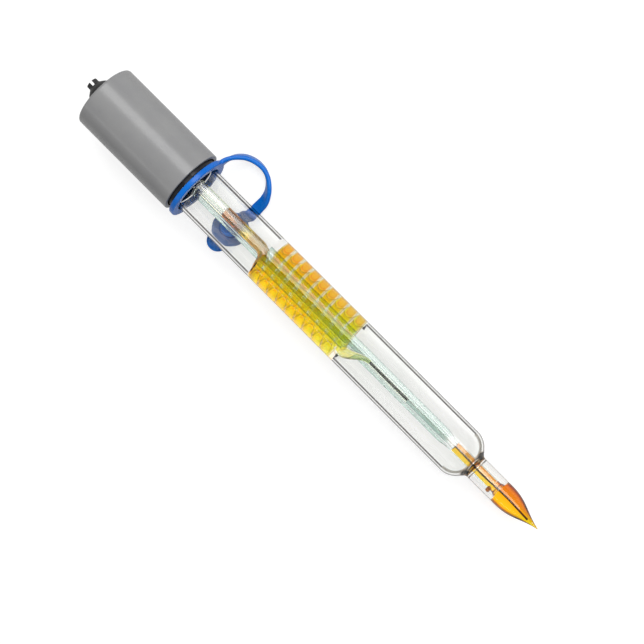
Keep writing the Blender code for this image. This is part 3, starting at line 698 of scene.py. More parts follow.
@dataclass(frozen=True)
class GlassFinish(Finish):
    """Glass drawn or blown in a flame.

    Attributes:
        wall: Painted shade by how steeply the eye meets the wall, from 0 straight on to 1 along it. A wall
            that is seen along its length shows as painted dark lines, which stand in for the dark
            surroundings that the glass bends and mirrors.
        ior: Index of refraction.
        striae_mm: Spacing of the slow changes of its cast.
        striae: Tint of the cast where it is strongest.
        straight: Tint where the wall's painted shade doesn't hold.
        zones: Tints along the axis, by height, or nothing.
        wall_reach: Distances from the axis over which the wall's painted shade comes in, or None where it
            holds throughout. It keeps the painted shade to the outside of a tube with an open bore.
    """

    wall: Stops
    ior: float
    striae_mm: float
    striae: str
    zones: Stops = ()
    wall_reach: tuple[float, float] | None = None
    straight: str = "#FFFFFF"

    def set_up(self, tree: bpy.types.NodeTree, shader: bpy.types.Node, frame: Matrix) -> None:
        """Paint shade into the glass by how steeply it is seen, and tint it by its zones and its cast."""
        # Painted shade: the Facing ramp darkens the glass where its wall is seen edge-on, in place of the
        # dark surroundings that it bends and mirrors.
        weight = add_node(tree, "ShaderNodeLayerWeight", {"Blend": 0.5})
        colour = colour_ramp(tree, weight.outputs["Facing"], self.wall)
        if self.wall_reach:
            amount = add_node(tree, "ShaderNodeMapRange", {"From Min": self.wall_reach[0],
                                                           "From Max": self.wall_reach[1]},
                              {"Value": from_axis(tree, frame)}, clamp=True)
            faded = add_node(tree, "ShaderNodeMix", {6: linear(self.straight)},
                             {0: amount.outputs["Result"], 7: colour}, data_type='RGBA')
            colour = faded.outputs[2]
        if self.zones:
            colour = multiplied(tree, colour, height_ramp(tree, frame, self.zones))
        cast = colour_ramp(tree, noise(tree, self.striae_mm, 2.0), ((0.35, self.striae), (0.6, "#FFFFFF")))
        make_clear(tree, shader, multiplied(tree, colour, cast), self.ior)


@dataclass(frozen=True)
class SolutionFinish(Finish):
    """A coloured salt solution that wets the glass round it.

    Its surface lies on the glass, which has almost the same index, so the ray isn't bent there. The
    glass's outside bends it, and that is what makes a filled bore look wide.

    Attributes:
        zones: Tints along the axis, by height.
        sides: Tints across the column, from one side to the other, or nothing.
        side_reach: Distance from the axis at which the side tints end.
    """

    zones: Stops
    sides: Stops = ()
    side_reach: float = 0.0028

    def set_up(self, tree: bpy.types.NodeTree, shader: bpy.types.Node, frame: Matrix) -> None:
        """Tint the solution by its zones and its sides, and let it bend nothing."""
        colour = height_ramp(tree, frame, self.zones)
        if self.sides:
            share = share_along(tree, frame, SIDE, -self.side_reach, self.side_reach)
            colour = multiplied(tree, colour, colour_ramp(tree, share, self.sides))
        make_clear(tree, shader, colour, 1.0)


@dataclass(frozen=True)
class MetalFinish(Finish):
    """Drawn wire or pressed sleeve.

    Attributes:
        colour: Its colour.
        tarnish: The colour of its dull places.
        roughness: Middle of its roughness.
        streak_mm: Width of the die's streaks.
        zones: Tints along the axis, by height, or nothing.
    """

    colour: str
    tarnish: str
    roughness: float
    streak_mm: float
    zones: Stops = ()

    def set_up(self, tree: bpy.types.NodeTree, shader: bpy.types.Node, frame: Matrix) -> None:
        """Streak the metal along the electrode's axis."""
        turn = frame.to_3x3().inverted().to_euler()
        along = add_node(tree, "ShaderNodeMapping", {"Rotation": turn, "Scale": (1.0, 1.0, 0.06)},
                         {"Vector": object_place(tree)})
        streaks = noise(tree, self.streak_mm, 2.0, along.outputs[0])
        colour = colour_ramp(tree, streaks, ((0.3, self.tarnish), (0.6, self.colour)))
        if self.zones:
            colour = multiplied(tree, colour, height_ramp(tree, frame, self.zones))
        shader.inputs["Metallic"].default_value = 1.0
        tree.links.new(colour, shader.inputs["Base Color"])
        tree.links.new(spread(tree, streaks, self.roughness, 0.08), shader.inputs["Roughness"])


Patch = tuple[Finish, Callable[[Vector], bool]]


# Moulded ABS: an even grey with a fine spark-eroded grain, which spreads the softbox to a broad stripe.
CAP_ABS = MouldedFinish("moulded_grey_abs", "#959595", "#909091", 0.25, 0.22, 0.0008, 6.0, 1.48)
# Moulded nylon: near black, a little duller than the cap, with soft mould grain.
RELIEF_NYLON = MouldedFinish("moulded_black_nylon", "#2B2B2B", "#242424", 0.50, 0.18, 0.0040, 3.0, 1.53)
# Moulded acetal: black with a smooth, faintly waxy face.
COLLAR_ACETAL = MouldedFinish("moulded_black_acetal", "#1F1F21", "#19191B", 0.38, 0.15, 0.0020, 3.0, 1.48)
# Moulded silicone: strong blue with a soft gloss, which pales on faces that are seen along.
COVER_SILICONE = MouldedFinish("moulded_blue_silicone", "#0074DA", "#006ACE", 0.28, 0.30, 0.0012, 5.0, 1.41)
# Moulded butyl rubber: dark grey and dull.
STOPPER_RUBBER = MouldedFinish("moulded_butyl_rubber", "#4A4A4A", "#3E3E3E", 0.75, 0.25, 0.0060, 3.0, 1.50)
# Cast epoxy: brown-black and glossy where it set against air.
POTTING_EPOXY = MouldedFinish("cast_amber_epoxy", "#5A4A2C", "#44381F", 0.35, 0.60, 0.0030, 4.0, 1.55)
# Sintered ceramic: brown with pale grains and no shine.
PIN_CERAMIC = MouldedFinish("sintered_brown_ceramic", "#CC8030", "#A8601C", 0.85, 0.10, 0.0080, 0.3, 1.60)
# Wick of braided glass fibre soaked in salt: dark olive and matt, with the strands just showing.
WICK_FIBRE = MouldedFinish("braided_glass_fibre", "#3E4526", "#2A2F1A", 0.80, 0.12, 0.0200, 0.5, 1.50)

# Borosilicate glass drawn to tube: clear, with a painted dark line at each face of its wall where it is seen
# edge-on, painted shade for the dark surroundings that the glass bends.
TUBE_GLASS = GlassFinish(
    "drawn_borosilicate_glass",
    ((0.460, "#FBFBFA"), (0.500, "#161412"), (0.585, "#1C1916"), (0.630, "#F6F5F3"), (0.680, "#F4F3F1"),
     (0.720, "#24221F"), (0.880, "#35312C"), (0.930, "#8A867F"), (1.0, "#8A867F")), 1.474, 15.0, "#FBFCFB",
    wall_reach=(0.0052, 0.0055), straight="#FAFAF9")
# Its shoulder, rounded in the flame: the same painted dark lines, and browned where the neck was sealed on.
SHOULDER_GLASS = GlassFinish(
    "flame_rounded_borosilicate_glass",
    ((0.380, "#FBFBFA"), (0.440, "#6A665C"), (0.560, "#4A463C"), (0.620, "#F0EFEC"), (0.690, "#E4E3E0"),
     (0.740, "#3A372F"), (0.900, "#57534A"), (1.0, "#8A867F")), 1.474, 15.0, "#FBFCFB",
    ((-0.0903, "#FFFFFF"), (-0.0908, "#C8A070"), (-0.0911, "#8E6030"), (-0.0920, "#8E6030")))
# The neck's thin wall: painted pale grey shade as it turns from the eye, with a soft painted dark line at
# each side.
NECK_GLASS = GlassFinish(
    "flame_sealed_borosilicate_glass",
    ((0.10, "#FBFBFA"), (0.20, "#E6E4E2"), (0.58, "#ECEAE8"), (0.70, "#B4B0AA"), (1.0, "#8A867F")), 1.474,
    12.0, "#FBFCFB")
# The same glass worked into the reference tube: clear, with painted honey-coloured outlines where its turns
# are seen edge-on.
COIL_GLASS = GlassFinish(
    "lampworked_borosilicate_glass",
    ((0.30, "#FFFFFC"), (0.60, "#FFF4CC"), (0.84, "#D8B860"), (1.0, "#6A5428")), 1.474, 9.0, "#FBFBF6")
# Where a film of filling solution joins the coil and the tube, neither the tube's bore nor the coil's
# outside bends the light: the coil looks as wide as the tube, with faint painted outlines between its turns
# and painted dark lines along the tube's sides.
WETTED_TUBE = GlassFinish(
    "drawn_borosilicate_glass_wetted",
    ((0.60, "#FEFEFD"), (0.74, "#F0EEEA"), (0.84, "#8E8A82"), (0.95, "#8E8A82"), (1.0, "#A8A49C")), 1.474,
    15.0, "#FCFDFC")
WETTED_BORE = SolutionFinish("clear_filling_solution", ((-0.0240, "#FFFFFE"), (-0.0530, "#FEFEFD")))
WETTED_COIL = GlassFinish(
    "lampworked_borosilicate_glass_wetted",
    ((0.35, "#FFFFFD"), (0.65, "#F0E6C4"), (0.85, "#CDBD90"), (1.0, "#8A7A4C")), 1.01, 9.0, "#FBFBF6")
# Soft lead glass of the stem: green in the thick wall, darkening to painted dark green shade at its edges,
# and clear where it was drawn out over the flame.
STEM_GLASS = GlassFinish(
    "drawn_green_lead_glass",
    ((0.20, "#FFFFFF"), (0.42, "#D6E2DE"), (0.65, "#7E9894"), (1.0, "#2C403D")), 1.50, 12.0, "#F4FAF8",
    ((-0.0400, "#DCE7E3"), (-0.0800, "#D4E2DD"), (-0.0822, "#DCE7E3"), (-0.0832, "#FFFFFF"),
     (-0.0860, "#FFFFFF")))
# Lithia glass blown thin over the sensing end and drawn to a point: painted brown-black shade where the eye
# runs along it.
SPEAR_GLASS = GlassFinish(
    "blown_lithia_glass",
    ((0.20, "#FFFAEC"), (0.32, "#ECC884"), (0.44, "#7A4014"), (0.66, "#1E0A02"), (1.0, "#140602")), 1.50,
    8.0, "#FFFAF0")

# Buffered chloride gel with a yellow dye: amber on the side of the strap's loop, yellow on the other.
BULB_SOLUTION = SolutionFinish(
    "yellow_buffer_gel",
    ((-0.0850, "#FFFFFF"), (-0.0975, "#FFFFF6"), (-0.0995, "#FFE6BC"), (-0.1050, "#FFEEB8"),
     (-0.1085, "#EAFF80")),
    ((0.0, "#FFF418"), (0.44, "#FFDC10"), (0.54, "#F6B410"), (0.64, "#EE940A"), (1.0, "#E87E06")))
# Iodide solution: dark orange in the straight tube and yellow-green at the coil's far end.
COIL_SOLUTION = SolutionFinish(
    "orange_iodide_solution",
    ((-0.0110, "#D88A10"), (-0.0160, "#D88A10"), (-0.0168, "#FFE23C"), (-0.0188, "#FBD634"),
     (-0.0196, "#CC9A28"), (-0.0245, "#D9A62C"), (-0.0262, "#FBDA14"), (-0.0400, "#FBE018"),
     (-0.0440, "#FAE82C"), (-0.0505, "#F0EC54"), (-0.0530, "#F0EEA0"), (-0.0585, "#DCE4A4")),
    ((0.0, "#FFFFFF"), (0.81, "#FFFFFF"), (0.84, "#F8B068"), (1.0, "#F8B068")), 0.0052)

# Drawn platinum: bright where it is dry, and dark brown where the solution wets it.
WIRE_PLATINUM = MetalFinish("drawn_platinum", "#D8D5CE", "#B4B0A8", 0.35, 0.10,
                            ((-0.0848, "#FFFFFF"), (-0.0853, "#6A4A30"), (-0.1100, "#553820")))
# Tinned copper sleeves, dulled by the crimping tool.
SPLICE_COPPER = MetalFinish("pressed_tinned_copper", "#C9C5BC", "#9F9A90", 0.35, 0.20)


# Pieces


@dataclass
class Workshop:
    """What every sub-assembly needs to place and dress its pieces.

    Attributes:
        frame: From the electrode's frame to the table.
        nodes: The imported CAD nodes.
        finishes: The materials made so far.
    """

    frame: Matrix
    nodes: dict[str, bpy.types.Object]
    finishes: dict[str, bpy.types.Material] = field(default_factory=dict)

    def dress(self, finish: Finish) -> bpy.types.Material:
        """The material of a finish, made on first use.

        Args:
            finish: The finish.

        Returns:
            Its material.
        """
        if finish.name not in self.finishes:
            self.finishes[finish.name] = finish.material(self.frame)
        return self.finishes[finish.name]

    def place(self, name: str, mesh: bpy.types.Mesh, finish: Finish, slot: Slot, *replaced: str,
              sharp: float = 40.0, body: Body | None = Body.ELECTRODE,
              patches: Sequence[Patch] = ()) -> bpy.types.Object:
        """Put a mesh from the electrode's frame on the table as a finished piece.

        Args:
            name: The piece's name.
            mesh: Its mesh in the electrode's frame.
            finish: Its finish.
            slot: The record's slot for that finish. Not used.
            *replaced: CAD nodes that it stands for.
            sharp: Edges sharper than this many degrees stay sharp.
            body: The body that it rides on, or None to leave it on none.
            patches: Other finishes, each with a test of a face's middle that says where it goes.

        Returns:
            The piece.
        """
        mesh.name = name
        mesh.materials.clear()
        mesh.materials.append(self.dress(finish))
        for index, (patch, covers) in enumerate(patches, start=1):
            mesh.materials.append(self.dress(patch))
            for face in mesh.polygons:
                if covers(face.center):
                    face.material_index = index
        mesh.transform(self.frame)
        mesh.shade_smooth()
        mesh.set_sharp_from_angle(angle=math.radians(sharp))
        piece = link_object(name, mesh)
        if body:
            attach(piece, body.value)
        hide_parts(*replaced)
        LOG.info("%s: %d faces for %s", name, len(mesh.polygons), ", ".join(replaced))
        return piece

    def keep(self, node: str, finish: Finish) -> None:
        """Give a CAD node that is kept a finish.

        Args:
            node: The node's name.
            finish: Its finish.
        """
        thing = self.nodes[node]
        for socket in thing.material_slots:
            socket.material = self.dress(finish)
        LOG.info("%s: kept with %s", node, finish.name)


@dataclass
class Cap:
    """Grey cap, black strain relief and black collar.

    Attributes:
        rim_breaks: Broken edges of the rim, inside and outside.
        relief_flange: Radius and thickness of the flange inside the cap.
        relief_shoulder: Radius at the cone's bend, and its height over the cap.
        relief_neck: Radius of the slotted end, and the height over the cap at which it starts.
        notch: Width, depth and height of the notch in the collar's skirt.
    """

    radius: float = 0.0082
    length: float = 0.0289
    wall: float = 0.0009
    top: float = 0.0018
    edge_round: float = 0.0007
    rim_breaks: tuple[float, float] = (0.00015, 0.0002)
    relief_base: float = 0.0040
    relief_flange: tuple[float, float] = (0.0054, 0.0012)
    relief_shoulder: tuple[float, float] = (0.00275, 0.0021)
    relief_neck: tuple[float, float] = (0.00145, 0.0031)
    relief_height: float = 0.0042
    relief_bore: float = 0.0009
    relief_rise: float = 0.0001
    relief_rounds: tuple[float, ...] = (0.00025, 0.0004, 0.0003, 0.00018, 0.0001)
    slot_width: float = 0.0006
    slot_depth: float = 0.0012
    collar_bore: float = 0.0063
    collar_radius: float = 0.0070
    collar_low: float = -0.0009
    collar_height: float = 0.0070
    collar_breaks: tuple[float, float] = (0.0001, 0.00015)
    notch: tuple[float, float, float] = (0.0022, 0.0008, 0.0030)
    gap: float = 0.0003
    sides: int = 160

    def shell(self) -> bpy.types.Mesh:
        """The cup, with its top's edge rounded and its rim broken."""
        bore = self.radius - self.wall
        hole = self.relief_base + self.gap
        inner_top = self.length - self.top
        outline = [(bore, 0.0), (self.radius, 0.0)]
        outline = round_corners(outline + [(self.radius, self.length / 2), (bore, self.length / 2)],
                                dict(enumerate(self.rim_breaks)), 3)[:-2]
        outline += arc((self.radius - self.edge_round, self.length - self.edge_round), self.edge_round,
                       0, 90, 10)
        edge = self.rim_breaks[0]
        outline += [(hole + edge, self.length), (hole, self.length - edge), (hole, inner_top),
                    (bore, inner_top)]
        return to_mesh(revolve(outline, self.sides))

    def relief(self) -> bpy.types.Mesh:
        """The stub, coned and slotted, with soft edges."""
        flange_radius, flange_height = self.relief_flange
        flange_top = self.length - self.top - self.gap
        shoulder, shoulder_rise = self.relief_shoulder
        neck, neck_rise = self.relief_neck
        end = self.length + self.relief_height
        flange_low = flange_top - flange_height
        outline = [(self.relief_bore, flange_low), (flange_radius, flange_low),
                   (flange_radius, flange_top), (self.relief_base, flange_top),
                   (self.relief_base, self.length + self.relief_rise),
                   (shoulder, self.length + shoulder_rise), (neck, self.length + neck_rise), (neck, end),
                   (self.relief_bore, end)]
        outline = round_corners(outline, dict(enumerate(self.relief_rounds, start=4)))
        slots = []
        for turn in (0.0, 90.0):
            block = box_mesh((neck * 3, self.slot_width, self.slot_depth * 2), (0, 0, end))
            bmesh.ops.rotate(block, verts=block.verts, matrix=Matrix.Rotation(math.radians(turn), 3, 'Z'))
            slots.append(block)
        return cut_away(to_mesh(revolve(outline, 96)), slots)

    def collar(self) -> bpy.types.Mesh:
        """The collar with the notch in its skirt."""
        outline = [(self.collar_bore, self.collar_low), (self.collar_radius, self.collar_low),
                   (self.collar_radius, self.collar_height), (self.collar_bore, self.collar_height)]
        outline = round_corners(outline, dict(enumerate(self.collar_breaks)), 3)
        width, depth, height = self.notch
        block = box_mesh((width, depth, height),
                         (0, -self.collar_radius, self.collar_low + height / 2 - self.gap))
        return cut_away(to_mesh(revolve(outline, self.sides)), [block])

    def build(self, shop: Workshop) -> None:
        """Make and dress the pieces."""
        shop.place("cap_moulding", self.shell(), CAP_ABS, Slot.GREY_PLASTIC, "cap_shell")
        shop.place("strain_relief_stub", self.relief(), RELIEF_NYLON, Slot.BLACK_PLASTIC, "strain_relief",
                   sharp=30.0)
        shop.place("rim_collar", self.collar(), COLLAR_ACETAL, Slot.BLACK_PLASTIC, "cap_insert")


@dataclass
class FillCover:
    """Blue silicone moulding: ring, strap, pad, pull tab and peg in one piece.

    Attributes:
        places: Stations of the strap's free loop: distance out from the ring, and away from the viewer.
        falls: How far down each station lies, as a share of the way from the ring to the plug.
        widths: Direction of the strap's width at each station.
        hug_angle: Direction round the axis at which the strap meets the tube, in degrees.
        hug_slant: How far below the plug's height the strap meets the tube.
        skew: How far the strap's side of the pad sags.
        dish: Radius of the dish's floor and of its rim in the peg's end, and its depth.
        tuck: How far the strap reaches into the pad.
        lip: Length over which the pull tab's edge thins.
        tip_halves: Least half width and half thickness at the tab's tip.
        bend_heights: Heights between which the strap would bend when the plug is pulled. Not used.
    """

    ring_bore: float = 0.0063
    ring_radius: float = 0.0082
    ring_heights: tuple[float, float] = (-0.0025, -0.0012)
    ring_breaks: tuple[float, ...] = (0.0001, 0.00022, 0.00022, 0.0001)
    thickness: float = 0.0011
    width: float = 0.0030
    places: tuple[tuple[float, float], ...] = (
        (-0.0006, 0.0), (0.0005, 0.0), (0.0018, 0.0), (0.00335, 0.0001), (0.0048, 0.0003),
        (0.00565, 0.0005), (0.0057, 0.0007), (0.00495, 0.0010), (0.00365, 0.0014), (0.0023, 0.0020),
        (0.0006, 0.0029), (-0.0013, 0.0040))
    falls: tuple[float, ...] = (0.0, 0.009, 0.050, 0.136, 0.285, 0.493, 0.706, 0.887, 1.023, 1.104,
                                1.149, 1.140)
    widths: tuple[tuple[float, float, float], ...] = (
        (0.0, -1.0, 0.0), (-0.05, -0.99, 0.03), (-0.15, -0.97, 0.12), (-0.25, -0.94, 0.22),
        (-0.30, -0.94, 0.18), (-0.27, -0.96, 0.05), (-0.08, -0.99, 0.0), (0.10, -0.98, 0.05),
        (0.22, -0.94, 0.18), (0.26, -0.85, 0.40), (0.18, -0.62, 0.74), (0.05, -0.35, 0.93))
    hug_angle: float = 43.0
    hug_slant: float = 0.0010
    pad_radius: float = 0.0043
    tab_radius: float = 0.0026
    tab_offset: float = 0.0036
    fillet: float = 0.0014
    skew: float = 0.00045
    peg_radius: float = 0.0022
    peg_end: float = 0.0041
    dish: tuple[float, float, float] = (0.0010, 0.0014, 0.0005)
    peg_rounds: tuple[float, float] = (0.0002, 0.00045)
    tuck: float = 0.0012
    lip: float = 0.0005
    tip_inset: float = 0.00002
    tip_halves: tuple[float, float] = (0.0002, 0.00008)
    corner_share: float = 0.9
    corner_steps: int = 6
    hug_steps: int = 3
    path_steps: int = 8
    pad_steps: int = 70
    voxel_mm: float = 0.14
    bend_heights: tuple[float, float] = (-0.0030, -0.0085)

    @property
    def middle_radius(self) -> float:
        """Distance from the axis to the middle of the strap that hugs the tube."""
        return self.ring_bore + self.thickness / 2

    def pad_half_width(self, reach: float) -> float:
        """Half the pad's width at a distance from the plug's centre, positive towards the tab."""
        lean = math.acos((self.pad_radius - self.tab_radius) / self.tab_offset)
        first = self.pad_radius * math.cos(lean)
        last = self.tab_offset + self.tab_radius * math.cos(lean)
        if reach > last:
            return math.sqrt(max(self.tab_radius ** 2 - (reach - self.tab_offset) ** 2, 0.0))
        if reach > first:
            share = (reach - first) / (last - first)
            return (self.pad_radius + (self.tab_radius - self.pad_radius) * share) * math.sin(lean)
        disc = math.sqrt(max(self.pad_radius ** 2 - reach ** 2, 0.0))
        share = (reach + self.pad_radius + self.fillet / 2) / self.fillet
        strap = step_between(self.width / 2, self.pad_radius * 0.72, share)
        return max(disc, min(strap, self.pad_radius))

    def pad_station(self, reach: float) -> tuple[Vector, Vector]:
        """Middle of the pad and its outward normal at a distance from the plug's centre."""
        start = HOLE.radius / 2
        height = -HOLE.drop - step_between(0.0, self.skew, (-reach - start) / (self.pad_radius - start))
        if reach >= 0.0:
            normal = radial(HOLE.angle, 1.0, 0.0)
            towards = radial(HOLE.angle + 90.0, 1.0, 0.0)
            return normal * self.middle_radius + towards * reach + Vector((0, 0, height)), normal
        angle = HOLE.angle + math.degrees(reach / self.middle_radius)
        return radial(angle, self.middle_radius, height), radial(angle, 1.0, 0.0)

    def section(self, centre: Vector, normal: Vector, across: Vector, half_width: float,
                half: float) -> list[Vector]:
        """A ring of points round a flat bar with rounded edges.

        Args:
            centre: Its middle.
            normal: Direction of its thickness.
            across: Direction of its width.
            half_width: Half the width.
            half: Half the thickness.

        Returns:
            The ring.
        """
        ring = []
        radius = min(half, half_width) * self.corner_share
        for side, (u_sign, v_sign) in enumerate(((1, 1), (-1, 1), (-1, -1), (1, -1))):
            for share in shares(self.corner_steps):
                turn = math.radians(90 * (side + share))
                u = u_sign * (half_width - radius) + radius * math.cos(turn)
                v = v_sign * (half - radius) + radius * math.sin(turn)
                ring.append(centre + across * u + normal * v)
        return ring

    def strap_mesh(self) -> bmesh.types.BMesh:
        """The strap from inside the ring to inside the pad."""
        middle = (self.ring_heights[0] + self.ring_heights[1]) / 2
        fall = HOLE.drop + middle
        places = [Vector((self.ring_radius + across, behind, middle - fall * share))
                  for (across, behind), share in zip(self.places, self.falls)]
        widths = [Vector((across, behind, -down)) for across, behind, down in self.widths]
        hug = math.radians(HOLE.angle - self.hug_angle) * self.middle_radius
        edge = -self.pad_radius - self.fillet / 2
        for share in shares(self.hug_steps):
            place, _ = self.pad_station(-hug + (hug + edge) * share)
            place.z -= step_between(self.hug_slant, 0.0, share)
            places.append(place)
            widths.append(-AXIS)
        places.append(self.pad_station(edge + self.tuck)[0])
        widths.append(-AXIS)
        path = smooth_path(places, self.path_steps)
        across = smooth_path(widths, self.path_steps)
        rings = []
        for index, (centre, width) in enumerate(zip(path, across)):
            along = (path[min(index + 1, len(path) - 1)] - path[max(index - 1, 0)]).normalized()
            width = (width - along * width.dot(along)).normalized()
            rings.append(self.section(centre, along.cross(width), width, self.width / 2, self.thickness / 2))
        return skin(rings)

    def pad_mesh(self) -> bmesh.types.BMesh:
        """The pad with the pull tab, thinner towards the tab's lip."""
        end = self.tab_offset + self.tab_radius
        first = -self.pad_radius - self.fillet / 2
        least_width, least_height = self.tip_halves
        rings = []
        for share in shares(self.pad_steps):
            reach = first + (end - self.tip_inset - first) * math.sin(share * math.pi / 2) ** 0.9
            centre, normal = self.pad_station(reach)
            half_width = max(self.pad_half_width(reach), least_width)
            over = max((reach - end + self.lip) / self.lip, 0.0)
            half = max(self.thickness / 2 * math.sqrt(max(1 - over ** 2, 0.0)), least_height)
            rings.append(self.section(centre, normal, -AXIS, half_width, half))
        return skin(rings)

    def peg_mesh(self) -> bmesh.types.BMesh:
        """The peg, dished at its end, on the fill hole's axis."""
        end = self.peg_end
        floor, rim, depth = self.dish
        outline = [(0.0, end + depth), (floor, end + depth), (rim, end), (self.peg_radius, end),
                   (self.peg_radius, self.middle_radius), (0.0, self.middle_radius)]
        outline = round_corners(outline, dict(enumerate(self.peg_rounds, start=2)), 5)
        return point_outwards(revolve(outline, 64), HOLE.angle, -HOLE.drop)

    def ring_mesh(self) -> bmesh.types.BMesh:
        """The ring, with its edges just broken."""
        low, high = self.ring_heights
        outline = [(self.ring_bore, low), (self.ring_radius, low), (self.ring_radius, high),
                   (self.ring_bore, high)]
        return revolve(round_corners(outline, dict(enumerate(self.ring_breaks))), 128)

    def moulding(self) -> bpy.types.Mesh:
        """All parts grown together, with soft inner corners. The remesher works in millimetres."""
        whole = bmesh.new()
        for part in (self.ring_mesh(), self.strap_mesh(), self.pad_mesh(), self.peg_mesh()):
            mesh = to_mesh(part)
            mesh.transform(Matrix.Scale(TO_MM, 4))
            whole.from_mesh(mesh)
            bpy.data.meshes.remove(mesh)
        mesh = bpy.data.meshes.new("moulding")
        whole.to_mesh(mesh)
        whole.free()
        thing = link_object("moulding_raw", mesh)
        grow = thing.modifiers.new("Grow", 'REMESH')
        grow.mode = 'VOXEL'
        grow.voxel_size = self.voxel_mm * 1.0
        soften = thing.modifiers.new("Soften", 'SMOOTH')
        soften.factor = 0.5
        soften.iterations = 4
        result = settled_mesh(thing)
        bpy.data.objects.remove(thing, do_unlink=True)
        result.transform(Matrix.Scale(1 / TO_MM, 4))
        return result

    def build(self, shop: Workshop) -> None:
        """Make and dress the moulding."""
        piece = shop.place("fill_hole_cover", self.moulding(), COVER_SILICONE, Slot.BLUE_ELASTOMER,
                           "fill_cover", "fill_plug", sharp=180.0, body=None)
        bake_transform(piece)


@dataclass
class GlassTube:
    """Outer tube, shoulder and neck, fused into one, with the ceramic pin in the neck's wall."""

    radius: float = 0.0060
    wall: float = 0.0008
    top: float = 0.0100
    shoulder_drop: float = 0.0864
    shoulder_round: float = 0.0048
    shoulder_slope: float = 48.0
    shoulder_fillet: float = 0.0009
    end_length: float = 0.0045
    inner_hole: float = 0.0019
    neck_radius: float = 0.0029
    neck_wall: float = 0.0007
    neck_parting: float = 0.0003
    neck_length: float = 0.0069
    gap: float = 0.0003
    pin_radius: float = 0.0005
    pin_length: float = 0.0012
    pin_rise: float = 0.00193
    pin_angle: float = 232.0
    pin_inset: float = 0.00002
    pin_round: float = 0.0001
    rim_round: float = 0.00018
    throat_round: float = 0.0003
    wetted: tuple[float, float] = (-0.0246, -0.0519)
    end_steps: int = 20
    sides: int = 160

    @property
    def neck_bore(self) -> float:
        """Radius of the neck's bore."""
        return self.neck_radius - self.neck_wall

    @property
    def neck_middle(self) -> float:
        """Radius that parts the neck's outside from its bore."""
        return self.neck_bore + self.neck_parting

    def shoulder(self) -> Outline:
        """Outside of the shoulder, from the tube's wall to the neck."""
        crown = arc((self.radius - self.shoulder_round, -self.shoulder_drop), self.shoulder_round, 0,
                    -self.shoulder_slope, 14)
        slope = math.radians(self.shoulder_slope)
        start = self.neck_radius + self.shoulder_fillet * (1 - math.cos(slope))
        height = crown[-1][1] - (crown[-1][0] - start) / math.tan(slope)
        centre = (self.neck_radius + self.shoulder_fillet, height - self.shoulder_fillet * math.sin(slope))
        return crown + arc(centre, self.shoulder_fillet, 180 - self.shoulder_slope, 180, 6)

    @property
    def joint(self) -> float:
        """Height of the seam between the shoulder and the neck."""
        return self.shoulder()[-1][1]

    @property
    def neck_end(self) -> float:
        """Height of the neck's lower end."""
        return self.joint - self.gap - self.neck_length

    def glass(self) -> bpy.types.Mesh:
        """The fused tube with its fill hole."""
        bore = self.radius - self.wall
        edge = self.rim_round
        outline = arc((bore + edge, self.top - edge), edge, 180, 90, 3)
        outline += arc((self.radius - edge, self.top - edge), edge, 90, 0, 3)
        outline += [(self.radius, height) for height in self.wetted]
        outline += self.shoulder()
        throat = self.joint - 2 * self.throat_round
        outline += [(self.neck_radius, self.neck_end), (self.neck_bore, self.neck_end),
                    (self.neck_bore, throat)]
        outline += arc((self.neck_bore - self.throat_round, throat), self.throat_round, 0, 90, 3)
        last = math.degrees(math.acos(self.inner_hole / bore))
        for share in shares(self.end_steps):
            angle = math.radians(last * (1 - share))
            outline.append((bore * math.cos(angle), -self.shoulder_drop - self.end_length * math.sin(angle)))
        outline += [(bore, height) for height in reversed(self.wetted)]
        drill = revolve([(0.0, bore / 2), (HOLE.radius, bore / 2), (HOLE.radius, self.radius * 1.5),
                         (0.0, self.radius * 1.5)], 72)
        drill = point_outwards(drill, HOLE.angle, -HOLE.drop)
        return cut_away(to_mesh(revolve(outline, self.sides)), [drill])

    def is_wetted(self, place: Vector) -> bool:
        """Whether a place in the tube lies where filling solution wets the bore."""
        return self.wetted[1] < place.z < self.wetted[0]

    def on_shoulder(self, place: Vector) -> bool:
        """Whether a place in the glass lies on the outside of the shoulder."""
        depth = -place.z - self.shoulder_drop
        if depth < 0.0 or place.z < self.joint:
            return False
        inside = (self.radius - self.wall) * math.sqrt(max(1 - (depth / self.end_length) ** 2, 0.0))
        return place.xy.length > max(inside + self.wall / 2, self.neck_middle)

    def pin(self) -> bpy.types.Mesh:
        """The ceramic pin, with its ends just rounded."""
        outer = self.neck_radius - self.pin_inset
        outline = [(0.0, outer - self.pin_length), (self.pin_radius, outer - self.pin_length),
                   (self.pin_radius, outer), (0.0, outer)]
        outline = round_corners(outline, {1: self.pin_round, 2: self.pin_round}, 3)
        return to_mesh(point_outwards(revolve(outline, 32), self.pin_angle, self.neck_end + self.pin_rise))

    def build(self, shop: Workshop) -> None:
        """Make and dress the pieces."""
        middle = self.radius - self.wall / 2
        patches: list[Patch] = [
            (SHOULDER_GLASS, self.on_shoulder),
            (NECK_GLASS, lambda place: place.z < self.joint and place.xy.length > self.neck_middle),
            (WETTED_TUBE, lambda place: self.is_wetted(place) and place.xy.length > middle),
            (WETTED_BORE, lambda place: self.is_wetted(place) and place.xy.length < middle)]
        shop.place("tube_and_neck", self.glass(), TUBE_GLASS, Slot.CLEAR_GLASS, "outer_tube", "neck_tube",
                   sharp=50.0, patches=patches)
        shop.place("ceramic_pin", self.pin(), PIN_CERAMIC, Slot.BROWN_CERAMIC, "outer_junction")


